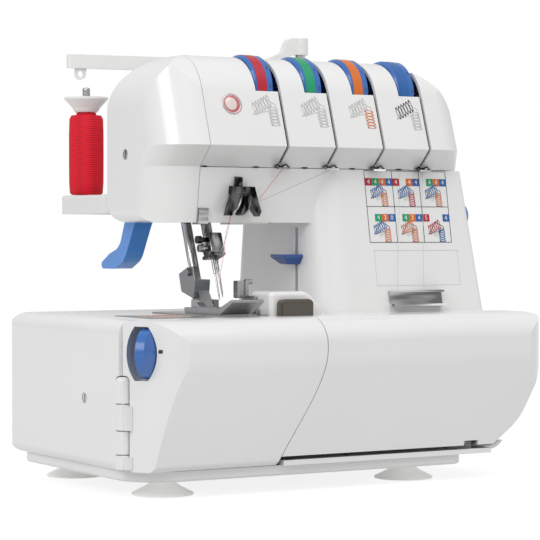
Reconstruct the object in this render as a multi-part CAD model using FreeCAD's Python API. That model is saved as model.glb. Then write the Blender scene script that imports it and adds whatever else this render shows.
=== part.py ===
"""Four-thread overlock sewing machine, free-standing on four suction feet.

Millimetres. X runs to the right as the sewer sits, Y to the back, Z up.
The origin is under the middle of the whole machine, on the table.
"""
import math
import os

import FreeCAD
import Part

V = FreeCAD.Vector

# Overall sizes
LEFT = -151.2
RIGHT = 153.0
FRONT = -104.0
REAR = 104.0
BED_BOTTOM = 17.0
BED_TOP = 108.0
BED_REAR = 80.0
ARM_BOTTOM = 166.0
PANEL_BOTTOM = 201.0
HEAD_TOP = 272.0
HEAD_LEFT = -108.0
HEAD_RIGHT = 118.0
HEAD_FRONT = -60.0
HEAD_REAR = 24.0
WALL = 2.4
SEAM = 0.4

# Suction feet and base plate
FOOT_R = 19.0
FOOT_H = 10.5
FOOT_X = (-112.0, 66.0)
FOOT_Y = (-59.0, 62.0)
BASE_LEFT = -146.0
BASE_RIGHT = 92.0

# Front covers
CORNER_R = 40.0
HINGE_X = -148.5
HINGE_Y = -77.7
HINGE_TOP = 74.0
BARREL_R = 4.5
PIN_R = 1.7
COVER_REAR_LEFT = -77.7
COVER_REAR_MID = -84.0
COVER_REAR_RIGHT = -65.0
COVER_BOTTOM = 22.8
LIP_TOP = 20.2
COVER_ROD_Y = -91.3
COVER_ROD_Z = 26.4
COVER_ROD_R = 1.4
PLATE_ARC_R = 62.0

# Width dial: an egg-shaped thumb wheel sunk in the rounded front left corner
DIAL_ANGLE = math.radians(-138.0)
DIAL_SINK = 5.5
DIAL_OUT = V(math.cos(DIAL_ANGLE), math.sin(DIAL_ANGLE), 0.0)
DIAL_AXIS = V(DIAL_OUT.y, -DIAL_OUT.x, 0.0)
DIAL_AT = V(LEFT + CORNER_R, FRONT - 0.4 + CORNER_R, 88.0) + DIAL_OUT * (CORNER_R - DIAL_SINK)
DIAL_R = 15.2
DIAL_HALF = 7.0
EGG_SPREAD = 1.25
DIAL_SCOOP = 2.5
DIAL_ROOM_R = 16.9
DIAL_ROOM_HALF = 10.2
DIAL_CUP = 1.7
DIAL_PIN_R = 1.5

# Column
COL_LEFT = 2.6
COL_RIGHT_LOW = 129.5
COL_RIGHT_HIGH = 121.5
COL_FRONT_LOW = -62.0
COL_FRONT_HIGH = -46.5
COL_REAR_LOW = 56.0
COL_REAR_HIGH = 46.0
COL_CAP_Z = 170.5

# Tension dials
TENSION_X = (-31.5, 4.8, 41.1, 77.4)
TENSION_Y = -22.0
TENSION_Z = 250.0
TENSION_R = 23.4
TENSION_W = 15.0
SLOT_DX = 9.2
SLOT_W = 2.2
WINDOW_Z = 249.0

# Needle and presser bars, both leaning back at the top
LEAN = math.radians(20.0)
NEEDLE_X = -64.0
NEEDLE_Y = -27.3
NEEDLE_OUT = 2.6
NEEDLE_TOP = 145.2
NEEDLE_PAIR = (-1.3, 1.3)
SHANK_R = 1.0
PRESSER_X = -66.0
PRESSER_Y = -5.0
BAR_R = 3.4
BAR_AXIS = V(0.0, math.sin(LEAN), math.cos(LEAN))
BAR_NORMAL = V(0.0, -math.cos(LEAN), math.sin(LEAN))

# Shafts
MAIN_Y = -6.0
MAIN_Z = 171.0
LOWER_Y = 18.0
LOWER_Z = 58.0
MOTOR_Y = 50.0
MOTOR_Z = 50.0
SHAFT_R = 5.0
BELT_X = 84.0
MOTOR_BELT_X = 72.0
BELT_W = 8.0
PULLEY_R = 12.0
BIG_PULLEY_R = 22.0
SMALL_PULLEY_R = 8.0
BELT_T = 1.6
FIT = 0.15

# Spool stand and thread mast
TRAY_LEFT = -105.0
TRAY_RIGHT = 92.0
TRAY_FRONT = 30.0
TRAY_Z = 172.0
TRAY_H = 12.5
SPOOL_X = (-92.0, -46.0, 0.0, 46.0)
SPOOL_Y = 86.0
SPOOL_R = 12.2
SPOOL_H = 55.3
SPOOL_PIN_R = 2.5
SPOOL_PIN_TOP = 256.7
SPOOL_TOP_GAP = 0.1
MAST_X = 68.0
MAST_Y = 72.0
MAST_R = 3.5
MAST_WALL = 1.0
MAST_FIT = 0.05
BAR_GAP = 13.5
BAR_H = 9.1
NECK_RISE = 25.8
NECK_H = 12.0
BORE_ROOF = 5.0
EYE_DROP = 3.8
BAR_END = 9.4276
BAR_Z = SPOOL_PIN_TOP + BAR_GAP
BAR_TOP = BAR_Z + BAR_H
NECK_TOP = BAR_Z + NECK_RISE
NECK_Z = NECK_TOP - NECK_H
BORE_TOP = NECK_TOP - BORE_ROOF
EYE_Z = BAR_Z - EYE_DROP
BAR_SWING = math.radians(8.0)
BAR_LENGTH = (MAST_X - SPOOL_X[0]) / math.cos(BAR_SWING) + BAR_END


def points_in(points):
    """Corner points as (a, b, radius), with a missing radius read as zero."""
    return [(p[0], p[1], p[2] if len(p) > 2 else 0.0) for p in points]


def inset(points, step):
    """Move every side of a corner list inward and shrink its outer radii."""
    corners = points_in(points)
    count = len(corners)
    area = sum(corners[i][0] * corners[(i + 1) % count][1] - corners[(i + 1) % count][0] * corners[i][1]
               for i in range(count))
    turn = 1.0 if area > 0.0 else -1.0
    sides = []
    for i in range(count):
        a = corners[i]
        b = corners[(i + 1) % count]
        length = math.hypot(b[0] - a[0], b[1] - a[1])
        ux = (b[0] - a[0]) / length
        uy = (b[1] - a[1]) / length
        sides.append((a[0] - turn * uy * step, a[1] + turn * ux * step, ux, uy))
    moved = []
    for i in range(count):
        p = sides[i - 1]
        q = sides[i]
        cross = p[2] * q[3] - p[3] * q[2]
        t = ((q[0] - p[0]) * q[3] - (q[1] - p[1]) * q[2]) / cross
        radius = corners[i][2]
        if radius > 0.0:
            radius = max(radius - turn * math.copysign(step, cross), 0.3)
        moved.append((p[0] + p[2] * t, p[1] + p[3] * t, radius))
    return moved


def outline(points, place):
    """Closed wire from corner points, each corner rounded by its radius."""
    corners = points_in(points)
    count = len(corners)
    starts = []
    ends = []
    arcs = []
    for i in range(count):
        a = corners[i - 1]
        b = corners[i]
        c = corners[(i + 1) % count]
        if b[2] < 0.01:
            starts.append((b[0], b[1]))
            ends.append((b[0], b[1]))
            arcs.append(None)
            continue
        la = math.hypot(a[0] - b[0], a[1] - b[1])
        lc = math.hypot(c[0] - b[0], c[1] - b[1])
        ua = ((a[0] - b[0]) / la, (a[1] - b[1]) / la)
        uc = ((c[0] - b[0]) / lc, (c[1] - b[1]) / lc)
        half = math.acos(max(-1.0, min(1.0, ua[0] * uc[0] + ua[1] * uc[1]))) / 2.0
        tangent = b[2] / math.tan(half)
        bis = (ua[0] + uc[0], ua[1] + uc[1])
        bl = math.hypot(bis[0], bis[1])
        reach = b[2] / math.sin(half) - b[2]
        starts.append((b[0] + ua[0] * tangent, b[1] + ua[1] * tangent))
        ends.append((b[0] + uc[0] * tangent, b[1] + uc[1] * tangent))
        arcs.append((b[0] + bis[0] / bl * reach, b[1] + bis[1] / bl * reach))
    edges = []
    for i in range(count):
        if arcs[i] is not None:
            edges.append(Part.Arc(place(*starts[i]), place(*arcs[i]), place(*ends[i])).toShape())
        tail = starts[(i + 1) % count]
        if math.hypot(tail[0] - ends[i][0], tail[1] - ends[i][1]) > 1e-4:
            edges.append(Part.makeLine(place(*ends[i]), place(*tail)))
    return Part.Wire(edges)


def side_prism(points, x0, x1):
    """Extrude a (Y, Z) outline along X."""
    face = Part.Face(outline(points, lambda a, b: V(x0, a, b)))
    return face.extrude(V(x1 - x0, 0, 0))


def front_prism(points, y0, y1):
    """Extrude an (X, Z) outline along Y."""
    face = Part.Face(outline(points, lambda a, b: V(a, y0, b)))
    return face.extrude(V(0, y1 - y0, 0))


def plan_prism(points, z0, z1):
    """Extrude an (X, Y) outline along Z."""
    face = Part.Face(outline(points, lambda a, b: V(a, b, z0)))
    return face.extrude(V(0, 0, z1 - z0))


def box(x0, x1, y0, y1, z0, z1):
    """Box between two corners."""
    return Part.makeBox(x1 - x0, y1 - y0, z1 - z0, V(x0, y0, z0))


def rect(x0, x1, y0, y1, r):
    """Corner list of a rectangle with one radius."""
    return [(x0, y0, r), (x1, y0, r), (x1, y1, r), (x0, y1, r)]


def rod(start, end, r):
    """Round bar between two points."""
    line = end.sub(start)
    return Part.makeCylinder(r, line.Length, start, line)


def rod_x(x0, x1, y, z, r):
    """Round bar along X."""
    return rod(V(x0, y, z), V(x1, y, z), r)


def rod_z(x, y, z0, z1, r):
    """Round bar along Z."""
    return rod(V(x, y, z0), V(x, y, z1), r)


def turned(profile, base, axis):
    """Revolve an (r, height) outline about an axis through base."""
    face = Part.Face(Part.makePolygon([V(r, 0, h) for r, h in profile + profile[:1]]))
    solid = face.revolve(V(0, 0, 0), V(0, 0, 1), 360.0)
    solid.Placement = FreeCAD.Placement(base, FreeCAD.Rotation(V(0, 0, 1), axis))
    return solid


def union(shapes):
    """Fuse a list of solids into one."""
    whole = shapes[0]
    for shape in shapes[1:]:
        whole = whole.fuse(shape)
    return whole.removeSplitter()


def soften(shape, radius, test):
    """Round the edges whose middle point passes a test; leave the shape if the rounding fails."""
    edges = [e for e in shape.Edges if test(e.valueAt((e.FirstParameter + e.LastParameter) / 2.0))]
    if not edges:
        return shape
    try:
        rounded = shape.makeFillet(radius, edges)
    except Part.OCCError:
        return shape
    if rounded.isValid() and rounded.Volume > 0.5 * shape.Volume:
        return rounded
    return shape


def along(base_y, base_x, z, forward=0.0):
    """Point on a leaning bar at height z, moved out to the front by forward."""
    lift = (z - ARM_BOTTOM) / BAR_AXIS.z
    return V(base_x, base_y, ARM_BOTTOM).add(BAR_AXIS * lift).add(BAR_NORMAL * forward)


def belt(x, ya, za, ra, yb, zb, rb):
    """Flat belt around two pulleys on X shafts."""
    def loop(extra):
        dy = yb - ya
        dz = zb - za
        dist = math.hypot(dy, dz)
        base = math.atan2(dz, dy)
        swing = math.acos((ra - rb) / dist)
        pts = []
        for angle in (base + swing, base - swing):
            pts.append(((ra + extra) * math.cos(angle) + ya, (ra + extra) * math.sin(angle) + za,
                        (rb + extra) * math.cos(angle) + yb, (rb + extra) * math.sin(angle) + zb))
        far_a = (ya - (ra + extra) * math.cos(base), za - (ra + extra) * math.sin(base))
        far_b = (yb + (rb + extra) * math.cos(base), zb + (rb + extra) * math.sin(base))
        one = pts[0]
        two = pts[1]
        edges = [Part.makeLine(V(x, one[0], one[1]), V(x, one[2], one[3])),
                 Part.Arc(V(x, one[2], one[3]), V(x, *far_b), V(x, two[2], two[3])).toShape(),
                 Part.makeLine(V(x, two[2], two[3]), V(x, two[0], two[1])),
                 Part.Arc(V(x, two[0], two[1]), V(x, *far_a), V(x, one[0], one[1])).toShape()]
        return Part.Face(Part.Wire(edges)).extrude(V(BELT_W, 0, 0))
    return loop(BELT_T).cut(loop(FIT))


def drive_belts():
    """Belt from the lower shaft to the upper one and belt from the motor."""
    upper = belt(BELT_X, MAIN_Y, MAIN_Z, PULLEY_R, LOWER_Y, LOWER_Z, PULLEY_R)
    low = belt(MOTOR_BELT_X, LOWER_Y, LOWER_Z, BIG_PULLEY_R, MOTOR_Y, MOTOR_Z, SMALL_PULLEY_R)
    return Part.makeCompound([upper, low])


# Head: plan outlines stacked by height, then rounded from the side and from the front
HEAD_LEVELS = [(ARM_BOTTOM, -41.5, 4.0), (PANEL_BOTTOM, COL_FRONT_HIGH, 4.0), (214.0, HEAD_FRONT, 20.0),
               (HEAD_TOP, -41.1, 20.0)]
HEAD_SLOPE = (HEAD_LEVELS[3][1] - HEAD_LEVELS[2][1]) / (HEAD_TOP - HEAD_LEVELS[2][0])
HEAD_SIDE = [(HEAD_FRONT - HEAD_SLOPE * (HEAD_LEVELS[2][0] - ARM_BOTTOM), ARM_BOTTOM), (-41.1, HEAD_TOP, 32.0),
             (HEAD_REAR, HEAD_TOP, 40.0), (HEAD_REAR, ARM_BOTTOM, 18.0)]
HEAD_FACE = [(HEAD_LEFT, ARM_BOTTOM, 7.0), (HEAD_RIGHT, ARM_BOTTOM, 7.0),
             (HEAD_RIGHT, HEAD_TOP, 56.0), (HEAD_LEFT, HEAD_TOP, 34.0)]


def head_block(step):
    """Head outside at step 0, its inside at the wall thickness."""
    rings = []
    for z, front, right_r in HEAD_LEVELS:
        corners = [(HEAD_LEFT, front, 28.0), (HEAD_RIGHT, front, right_r),
                   (HEAD_RIGHT, HEAD_REAR + 3.0, 16.0), (HEAD_LEFT, HEAD_REAR + 3.0, 5.0)]
        rings.append(outline(inset(corners, step), lambda a, b, z=z: V(a, b, z)))
    stack = union([Part.makeLoft(rings[i:i + 2], True, True) for i in range(len(rings) - 1)])
    side = side_prism(inset(HEAD_SIDE, step), HEAD_LEFT - 5.0, HEAD_RIGHT + 5.0)
    face = front_prism(inset(HEAD_FACE, step), HEAD_FRONT - 30.0, HEAD_REAR + 5.0)
    return stack.common(side).common(face)


HEAD_OUT = head_block(0.0)
HEAD_IN = head_block(WALL)
HEAD_SHELL = HEAD_OUT.cut(HEAD_IN)
FACE_SEAM = -78.5
FAR = 400.0


def column_block(step, z0, z1):
    """Column between two rounded outlines, wider at the foot."""
    def ring(x1, y0, y1, z):
        corners = [(COL_LEFT, y0, 22.0), (x1, y0, 4.0), (x1, y1, 14.0), (COL_LEFT, y1, 14.0)]
        return outline(inset(corners, step), lambda a, b: V(a, b, z))
    span = PANEL_BOTTOM - BED_TOP

    def at(z):
        t = (z - BED_TOP) / span
        return ring(COL_RIGHT_LOW + (COL_RIGHT_HIGH - COL_RIGHT_LOW) * t,
                    COL_FRONT_LOW + (COL_FRONT_HIGH - COL_FRONT_LOW) * t,
                    COL_REAR_LOW + (COL_REAR_HIGH - COL_REAR_LOW) * t, z)
    block = Part.makeLoft([at(z0), at(z1)], True, True)
    rear_cut = box(-FAR, FAR, HEAD_REAR - step, FAR, COL_CAP_Z - step, FAR)
    return block.cut(rear_cut)


SLIDER_Y = -29.0
SLIDER_Z0 = 121.0
SLIDER_Z1 = 163.0
SLIDER_Z = 142.0


def body_cover():
    """Lower arm and column in one moulding."""
    low = box(FACE_SEAM + SEAM / 2.0, 40.0, -FAR, FAR, 0.0, PANEL_BOTTOM - SEAM)
    outer = HEAD_OUT.common(low).fuse(column_block(0.0, BED_TOP, PANEL_BOTTOM - SEAM))
    arm_room = HEAD_IN.common(box(-FAR, 40.0, -FAR, FAR, 0.0, FAR))
    inner = arm_room.fuse(column_block(WALL, BED_TOP - 5.0, PANEL_BOTTOM + 5.0))
    shell = outer.cut(inner)
    cuts = [box(COL_LEFT - 1.0, COL_LEFT + WALL + 1.0, SLIDER_Y - 1.6, SLIDER_Y + 1.6, SLIDER_Z0, SLIDER_Z1),
            rod_x(112.0, 140.0, MAIN_Y, MAIN_Z, SHAFT_R + 1.5),
            rod(along(NEEDLE_Y, NEEDLE_X, 150.0), along(NEEDLE_Y, NEEDLE_X, 180.0), BAR_R + 1.2),
            rod(along(PRESSER_Y, PRESSER_X, 150.0), along(PRESSER_Y, PRESSER_X, 180.0), BAR_R + 1.2),
            rod_x(112.0, 140.0, SPEED_Y, SPEED_Z, 12.4),
            box(114.0, 135.0, DIFF_Y - 15.0, DIFF_Y + 15.0, DIFF_Z - 2.0, DIFF_Z + 2.0)]
    for cut in cuts:
        shell = shell.cut(cut)
    return shell


SPEED_Y = -30.0
SPEED_Z = 128.0
DIFF_X = 106.0
DIFF_Y = 22.0
DIFF_Z = 128.0


def tension_panel():
    """Front top moulding with a window and a thread slot for each tension dial."""
    part = HEAD_SHELL.common(box(FACE_SEAM + SEAM / 2.0, FAR, -FAR, -2.2, PANEL_BOTTOM, FAR))
    for x in TENSION_X:
        half = TENSION_W / 2.0 + 0.8
        part = part.cut(box(x - half, x + half, -FAR, -3.4, WINDOW_Z, FAR))
        slot = x + SLOT_DX
        part = part.cut(box(slot - SLOT_W / 2.0, slot + SLOT_W / 2.0, -FAR, -9.0, PANEL_BOTTOM + 2.5, FAR))
    return part


def rear_cover():
    """Rear top moulding."""
    return HEAD_SHELL.common(box(FACE_SEAM + SEAM / 2.0, FAR, -1.8, FAR, PANEL_BOTTOM, FAR))


LEVER_X = -88.0
LEVER_W = 12.6
LEVER_Y = 12.0
LEVER_Z = 178.0
FACE_SCREW_Y = -2.0
FACE_SCREW_Z = 209.0


SCREW_R = 1.95
SCREW_HEAD_R = 3.4


def screw_room(x, y, z):
    """Stepped hole for a screw through a left-hand wall."""
    head = rod_x(x - 1.0, x + 1.65, y, z, SCREW_HEAD_R + 0.05)
    return head.fuse(rod_x(x - 1.0, x + 4.0, y, z, SCREW_R + 0.05))


def face_cover():
    """Left end cap of the head, open below for the presser lifter."""
    part = HEAD_SHELL.common(box(-FAR, FACE_SEAM - SEAM / 2.0, -FAR, FAR, 0.0, FAR))
    part = part.cut(box(LEVER_X - LEVER_W / 2.0 - 1.2, LEVER_X + LEVER_W / 2.0 + 1.2, 4.0, FAR,
                        ARM_BOTTOM - 5.0, LEVER_Z + 6.0))
    return part.cut(screw_room(HEAD_LEFT, FACE_SCREW_Y, FACE_SCREW_Z))


# Bed: a side outline run from end to end, with softened ends
BED_SIDE = [(BED_REAR, BED_BOTTOM, 13.0), (BED_REAR, BED_TOP, 13.0), (FRONT, BED_TOP, 16.0),
            (FRONT, 80.0, 60.0), (-95.0, BED_BOTTOM, 5.0)]
BODY_RIGHT = 136.0
BED_FACE = [(LEFT, BED_BOTTOM, 6.0), (BODY_RIGHT, BED_BOTTOM, 15.0), (BODY_RIGHT, BED_TOP, 8.0),
            (LEFT, BED_TOP, 9.0)]
BED_PLAN = [(LEFT, -150.0), (BODY_RIGHT, -150.0), (BODY_RIGHT, BED_REAR, 12.0), (LEFT, BED_REAR, 5.0)]
COVER_FACE = [(LEFT, BED_BOTTOM, 6.0), (104.0, BED_BOTTOM, 30.0), (131.0, 38.0, 40.0), (RIGHT, 86.0, 30.0),
              (RIGHT, BED_TOP, 14.0), (LEFT, BED_TOP, 9.0)]
COVER_PLAN = [(LEFT, FRONT - 0.4, CORNER_R), (RIGHT, FRONT - 0.4, 22.0), (RIGHT, -50.0), (LEFT, -50.0)]


def bed_block(step):
    """Bed behind the front covers."""
    side = side_prism(inset(BED_SIDE, step), LEFT - 5.0, RIGHT + 5.0)
    face = front_prism(inset(BED_FACE, step), -150.0, 150.0)
    plan = plan_prism(inset(BED_PLAN, step), 0.0, 150.0)
    return side.common(face).common(plan)


def cover_block(step):
    """Volume of the two front covers together."""
    side = side_prism(inset(BED_SIDE, step), LEFT - 5.0, RIGHT + 5.0)
    face = front_prism(inset(COVER_FACE, step), -150.0, 150.0)
    plan = plan_prism(inset(COVER_PLAN, step), 0.0, 150.0)
    return side.common(face).common(plan)


COVER_SHELL = cover_block(0.0).cut(cover_block(WALL))
SEAM_LINE = [(-22.8, 124.0), (-22.6, 107.0), (-21.0, 88.0), (-32.0, 54.0), (-49.6, 22.7), (-56.0, 8.0)]


def left_of_seam(shift):
    """Volume to the left of the curved seam between the two front covers."""
    curve = Part.BSplineCurve()
    curve.interpolate([V(x + shift, -150.0, z) for x, z in SEAM_LINE])
    top = V(SEAM_LINE[0][0] + shift, -150.0, SEAM_LINE[0][1])
    low = V(SEAM_LINE[-1][0] + shift, -150.0, SEAM_LINE[-1][1])
    corner_low = V(-FAR, -150.0, low.z)
    corner_top = V(-FAR, -150.0, top.z)
    wire = Part.Wire([curve.toShape(), Part.makeLine(low, corner_low),
                      Part.makeLine(corner_low, corner_top), Part.makeLine(corner_top, top)])
    return Part.Face(wire).extrude(V(0, 150.0, 0))


KNUCKLES_FIXED = ((28.0, 41.7), (58.3, HINGE_TOP))
KNUCKLES_MOVING = ((19.0, 27.4), (42.3, 57.7))


def knuckles(spans, bore, reach):
    """Hinge barrels joined to their wall by a short web."""
    parts = []
    for z0, z1 in spans:
        barrel = rod_z(HINGE_X, HINGE_Y, z0, z1, BARREL_R)
        if z1 == HINGE_TOP:
            barrel = soften(barrel, 3.0, lambda p: p.z > HINGE_TOP - 0.01)
        web = box(HINGE_X - 1.6, HINGE_X + 2.4, min(HINGE_Y, HINGE_Y + reach), max(HINGE_Y, HINGE_Y + reach),
                  z0, z1 - 1.0)
        parts.append(barrel.fuse(web))
    whole = union(parts) if len(parts) == 1 else parts[0].fuse(parts[1])
    return whole.cut(rod_z(HINGE_X, HINGE_Y, 10.0, HINGE_TOP - 2.0, bore))


HINGE_ROOM = soften(rod_z(HINGE_X, HINGE_Y, BED_BOTTOM - 5.0, HINGE_TOP + 0.6, BARREL_R + 0.7), 3.2,
                    lambda p: p.z > HINGE_TOP + 0.5)


def egg(half, radius, shift):
    """Egg-shaped disc about the width dial's axis, moved along that axis: two balls, cut round."""
    rim = radius * EGG_SPREAD
    ball = (rim ** 2 + half ** 2) / (2.0 * half)
    centre = DIAL_AT + DIAL_AXIS * shift
    one = Part.makeSphere(ball, centre + DIAL_AXIS * (ball - half), DIAL_AXIS)
    disc = one.common(Part.makeSphere(ball, centre - DIAL_AXIS * (ball - half), DIAL_AXIS))
    disc = disc.common(rod(centre - DIAL_AXIS * half, centre + DIAL_AXIS * half, radius))
    return disc


def side_cover():
    """Front left cover on a vertical hinge, with the recess of the width dial."""
    zone = box(-FAR, FAR, -FAR, COVER_REAR_LEFT, 0.0, FAR).cut(
        box(-60.0, FAR, COVER_REAR_MID, FAR, 60.0, FAR))
    part = COVER_SHELL.common(left_of_seam(0.0)).common(zone)
    part = part.cut(box(-FAR, FAR, -FAR, FAR, 0.0, BED_BOTTOM + 0.5))
    cup = egg(DIAL_ROOM_HALF + DIAL_CUP, DIAL_ROOM_R + DIAL_CUP, DIAL_SCOOP).common(cover_block(0.0))
    part = part.fuse(cup).cut(egg(DIAL_ROOM_HALF, DIAL_ROOM_R, DIAL_SCOOP))
    part = part.cut(rod(DIAL_AT, DIAL_AT - DIAL_AXIS * (DIAL_HALF + 3.0), DIAL_PIN_R + 0.15))
    part = part.cut(HINGE_ROOM)
    return part.fuse(knuckles(KNUCKLES_MOVING, PIN_R + 0.2, -7.0)).removeSplitter()


def plate_zone(step):
    """Cloth plate outline: its right edge is an arc about the swing hinge."""
    ring = rod_z(HINGE_X, HINGE_Y, 50.0, 150.0, PLATE_ARC_R + step)
    return ring.common(box(-128.0 - step, FAR, HINGE_Y - 4.0, -26.0 + step, 50.0, 150.0))


def cloth_plate():
    """Plate beside the needle that swings out with the side cover."""
    top = plate_zone(0.0).common(box(-FAR, FAR, COVER_REAR_LEFT + 0.05, FAR, 105.6, BED_TOP + 0.3))
    tongue = box(-124.0, -96.0, -85.0, -70.0, 103.2, 105.5)
    tongue = tongue.fuse(box(-124.0, -96.0, COVER_REAR_LEFT + 0.05, -70.0, 103.2, 105.7))
    return top.fuse(tongue).removeSplitter()


def bed_shell():
    """Main bed moulding with the deck, the rear and the fixed half of the side hinge."""
    part = bed_block(0.0).cut(bed_block(WALL))
    front_room = box(-FAR, FAR, -FAR, COVER_REAR_LEFT + SEAM, 0.0, FAR)
    part = part.cut(front_room.cut(box(-60.0 + SEAM, 2.0, COVER_REAR_MID + SEAM, FAR, 60.0, FAR)))
    part = part.cut(box(2.0, FAR, -FAR, COVER_REAR_RIGHT + SEAM, COVER_BOTTOM, FAR))
    part = part.cut(plate_zone(0.6).common(box(-FAR, FAR, -FAR, FAR, 104.0, FAR)))
    part = part.cut(box(-86.0, -48.0, -66.0, 4.0, 104.0, FAR))
    part = part.cut(box(-48.0, -8.0, -72.0, -52.0, 104.0, FAR))
    part = part.cut(plan_prism(rect(8.0, 118.0, -46.0, 46.0, 10.0), 104.0, FAR))
    lip = box(-47.0, 112.0, -94.6, COVER_REAR_LEFT + SEAM, BED_BOTTOM, LIP_TOP)
    lip = soften(lip, 3.0, lambda p: p.x > 111.9 and p.y < -90.0)
    part = part.fuse(lip)
    part = part.cut(HINGE_ROOM)
    part = part.cut(box(BODY_RIGHT - 5.0, BODY_RIGHT + 1.0, INLET_Y - 13.2, INLET_Y + 13.2, INLET_Z - 9.2,
                        INLET_Z + 9.2))
    part = part.cut(box(BODY_RIGHT - 5.0, BODY_RIGHT + 1.0, SWITCH_Y - 10.2, SWITCH_Y + 10.2, SWITCH_Z - 6.2,
                        SWITCH_Z + 6.2))
    part = part.cut(screw_room(LEFT, SIDE_SCREW_Y, SIDE_SCREW_Z))
    return part.fuse(knuckles(KNUCKLES_FIXED, PIN_R, 9.0)).removeSplitter()


INLET_Y = 30.0
INLET_Z = 50.0
INLET_DEPTH = 14.0
SWITCH_Y = -5.0
SWITCH_Z = 52.0
SIDE_SCREW_Y = -31.0
SIDE_SCREW_Z = 58.5


def looper_cover():
    """Front right cover: slides right on its rod, then folds down."""
    zone = box(-FAR, FAR, -FAR, COVER_REAR_RIGHT, COVER_BOTTOM, FAR).cut(
        box(-FAR, 2.0 + SEAM, COVER_REAR_MID, FAR, 60.0, FAR))
    part = COVER_SHELL.common(zone).cut(left_of_seam(0.6))
    part = part.cut(box(88.0, 99.0, -FAR, -90.0, 0.0, COVER_BOTTOM + 3.0))
    for x in (0.0, 72.0):
        ear = box(x, x + 8.0, -98.0, COVER_ROD_Y + 3.2, COVER_ROD_Z - 3.2, COVER_ROD_Z + 3.2)
        ear = ear.cut(cover_outside())
        part = part.fuse(ear.cut(rod_x(x - 1.0, x + 9.0, COVER_ROD_Y, COVER_ROD_Z, COVER_ROD_R + 0.1)))
    return part.removeSplitter()


def cover_outside():
    """Everything outside the middle of the front cover wall."""
    return box(-60.0, 160.0, -130.0, -40.0, 0.0, 130.0).cut(cover_block(WALL / 2.0))


def suction_foot(x, y):
    """One rubber suction foot standing on its rim."""
    profile = [(0.0, 3.2), (15.5, 0.8), (16.0, 0.0), (FOOT_R, 0.0), (FOOT_R, 1.0), (11.0, 5.0), (7.5, 7.6),
               (7.0, FOOT_H), (0.0, FOOT_H)]
    return turned(profile, V(x, y, 0.0), V(0, 0, 1))


def base_plate():
    """Flat tray under the bed that holds the feet."""
    plate = plan_prism([(BASE_LEFT, -90.0, 30.0), (BASE_RIGHT, -92.0, 10.0), (BASE_RIGHT, 74.0, 12.0),
                        (BASE_LEFT, 74.0, 12.0)], FOOT_H, BED_BOTTOM)
    return soften(plate, 2.0, lambda p: p.z < FOOT_H + 0.01)


FRAME_FLOOR = 27.0
ARM_PLATE_Z0 = 197.0
ARM_PLATE_Z1 = 204.0
SHELF_Z0 = 169.0
SHELF_Z1 = 176.0
LEVER_PIVOT_X = -4.0
LOOPER_PIVOT_Z = 62.0
LOW_LOOPER_X = -74.0
UP_LOOPER_X = -30.0
LOOPER_WALL_Y = -30.0
KNIFE_PIVOT_Y = -18.0
KNIFE_PIVOT_Z = 84.0
FEED_X0 = -80.0
FEED_X1 = -72.0
FEED_Z0 = 98.0
FEED_Z1 = 101.0


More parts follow.
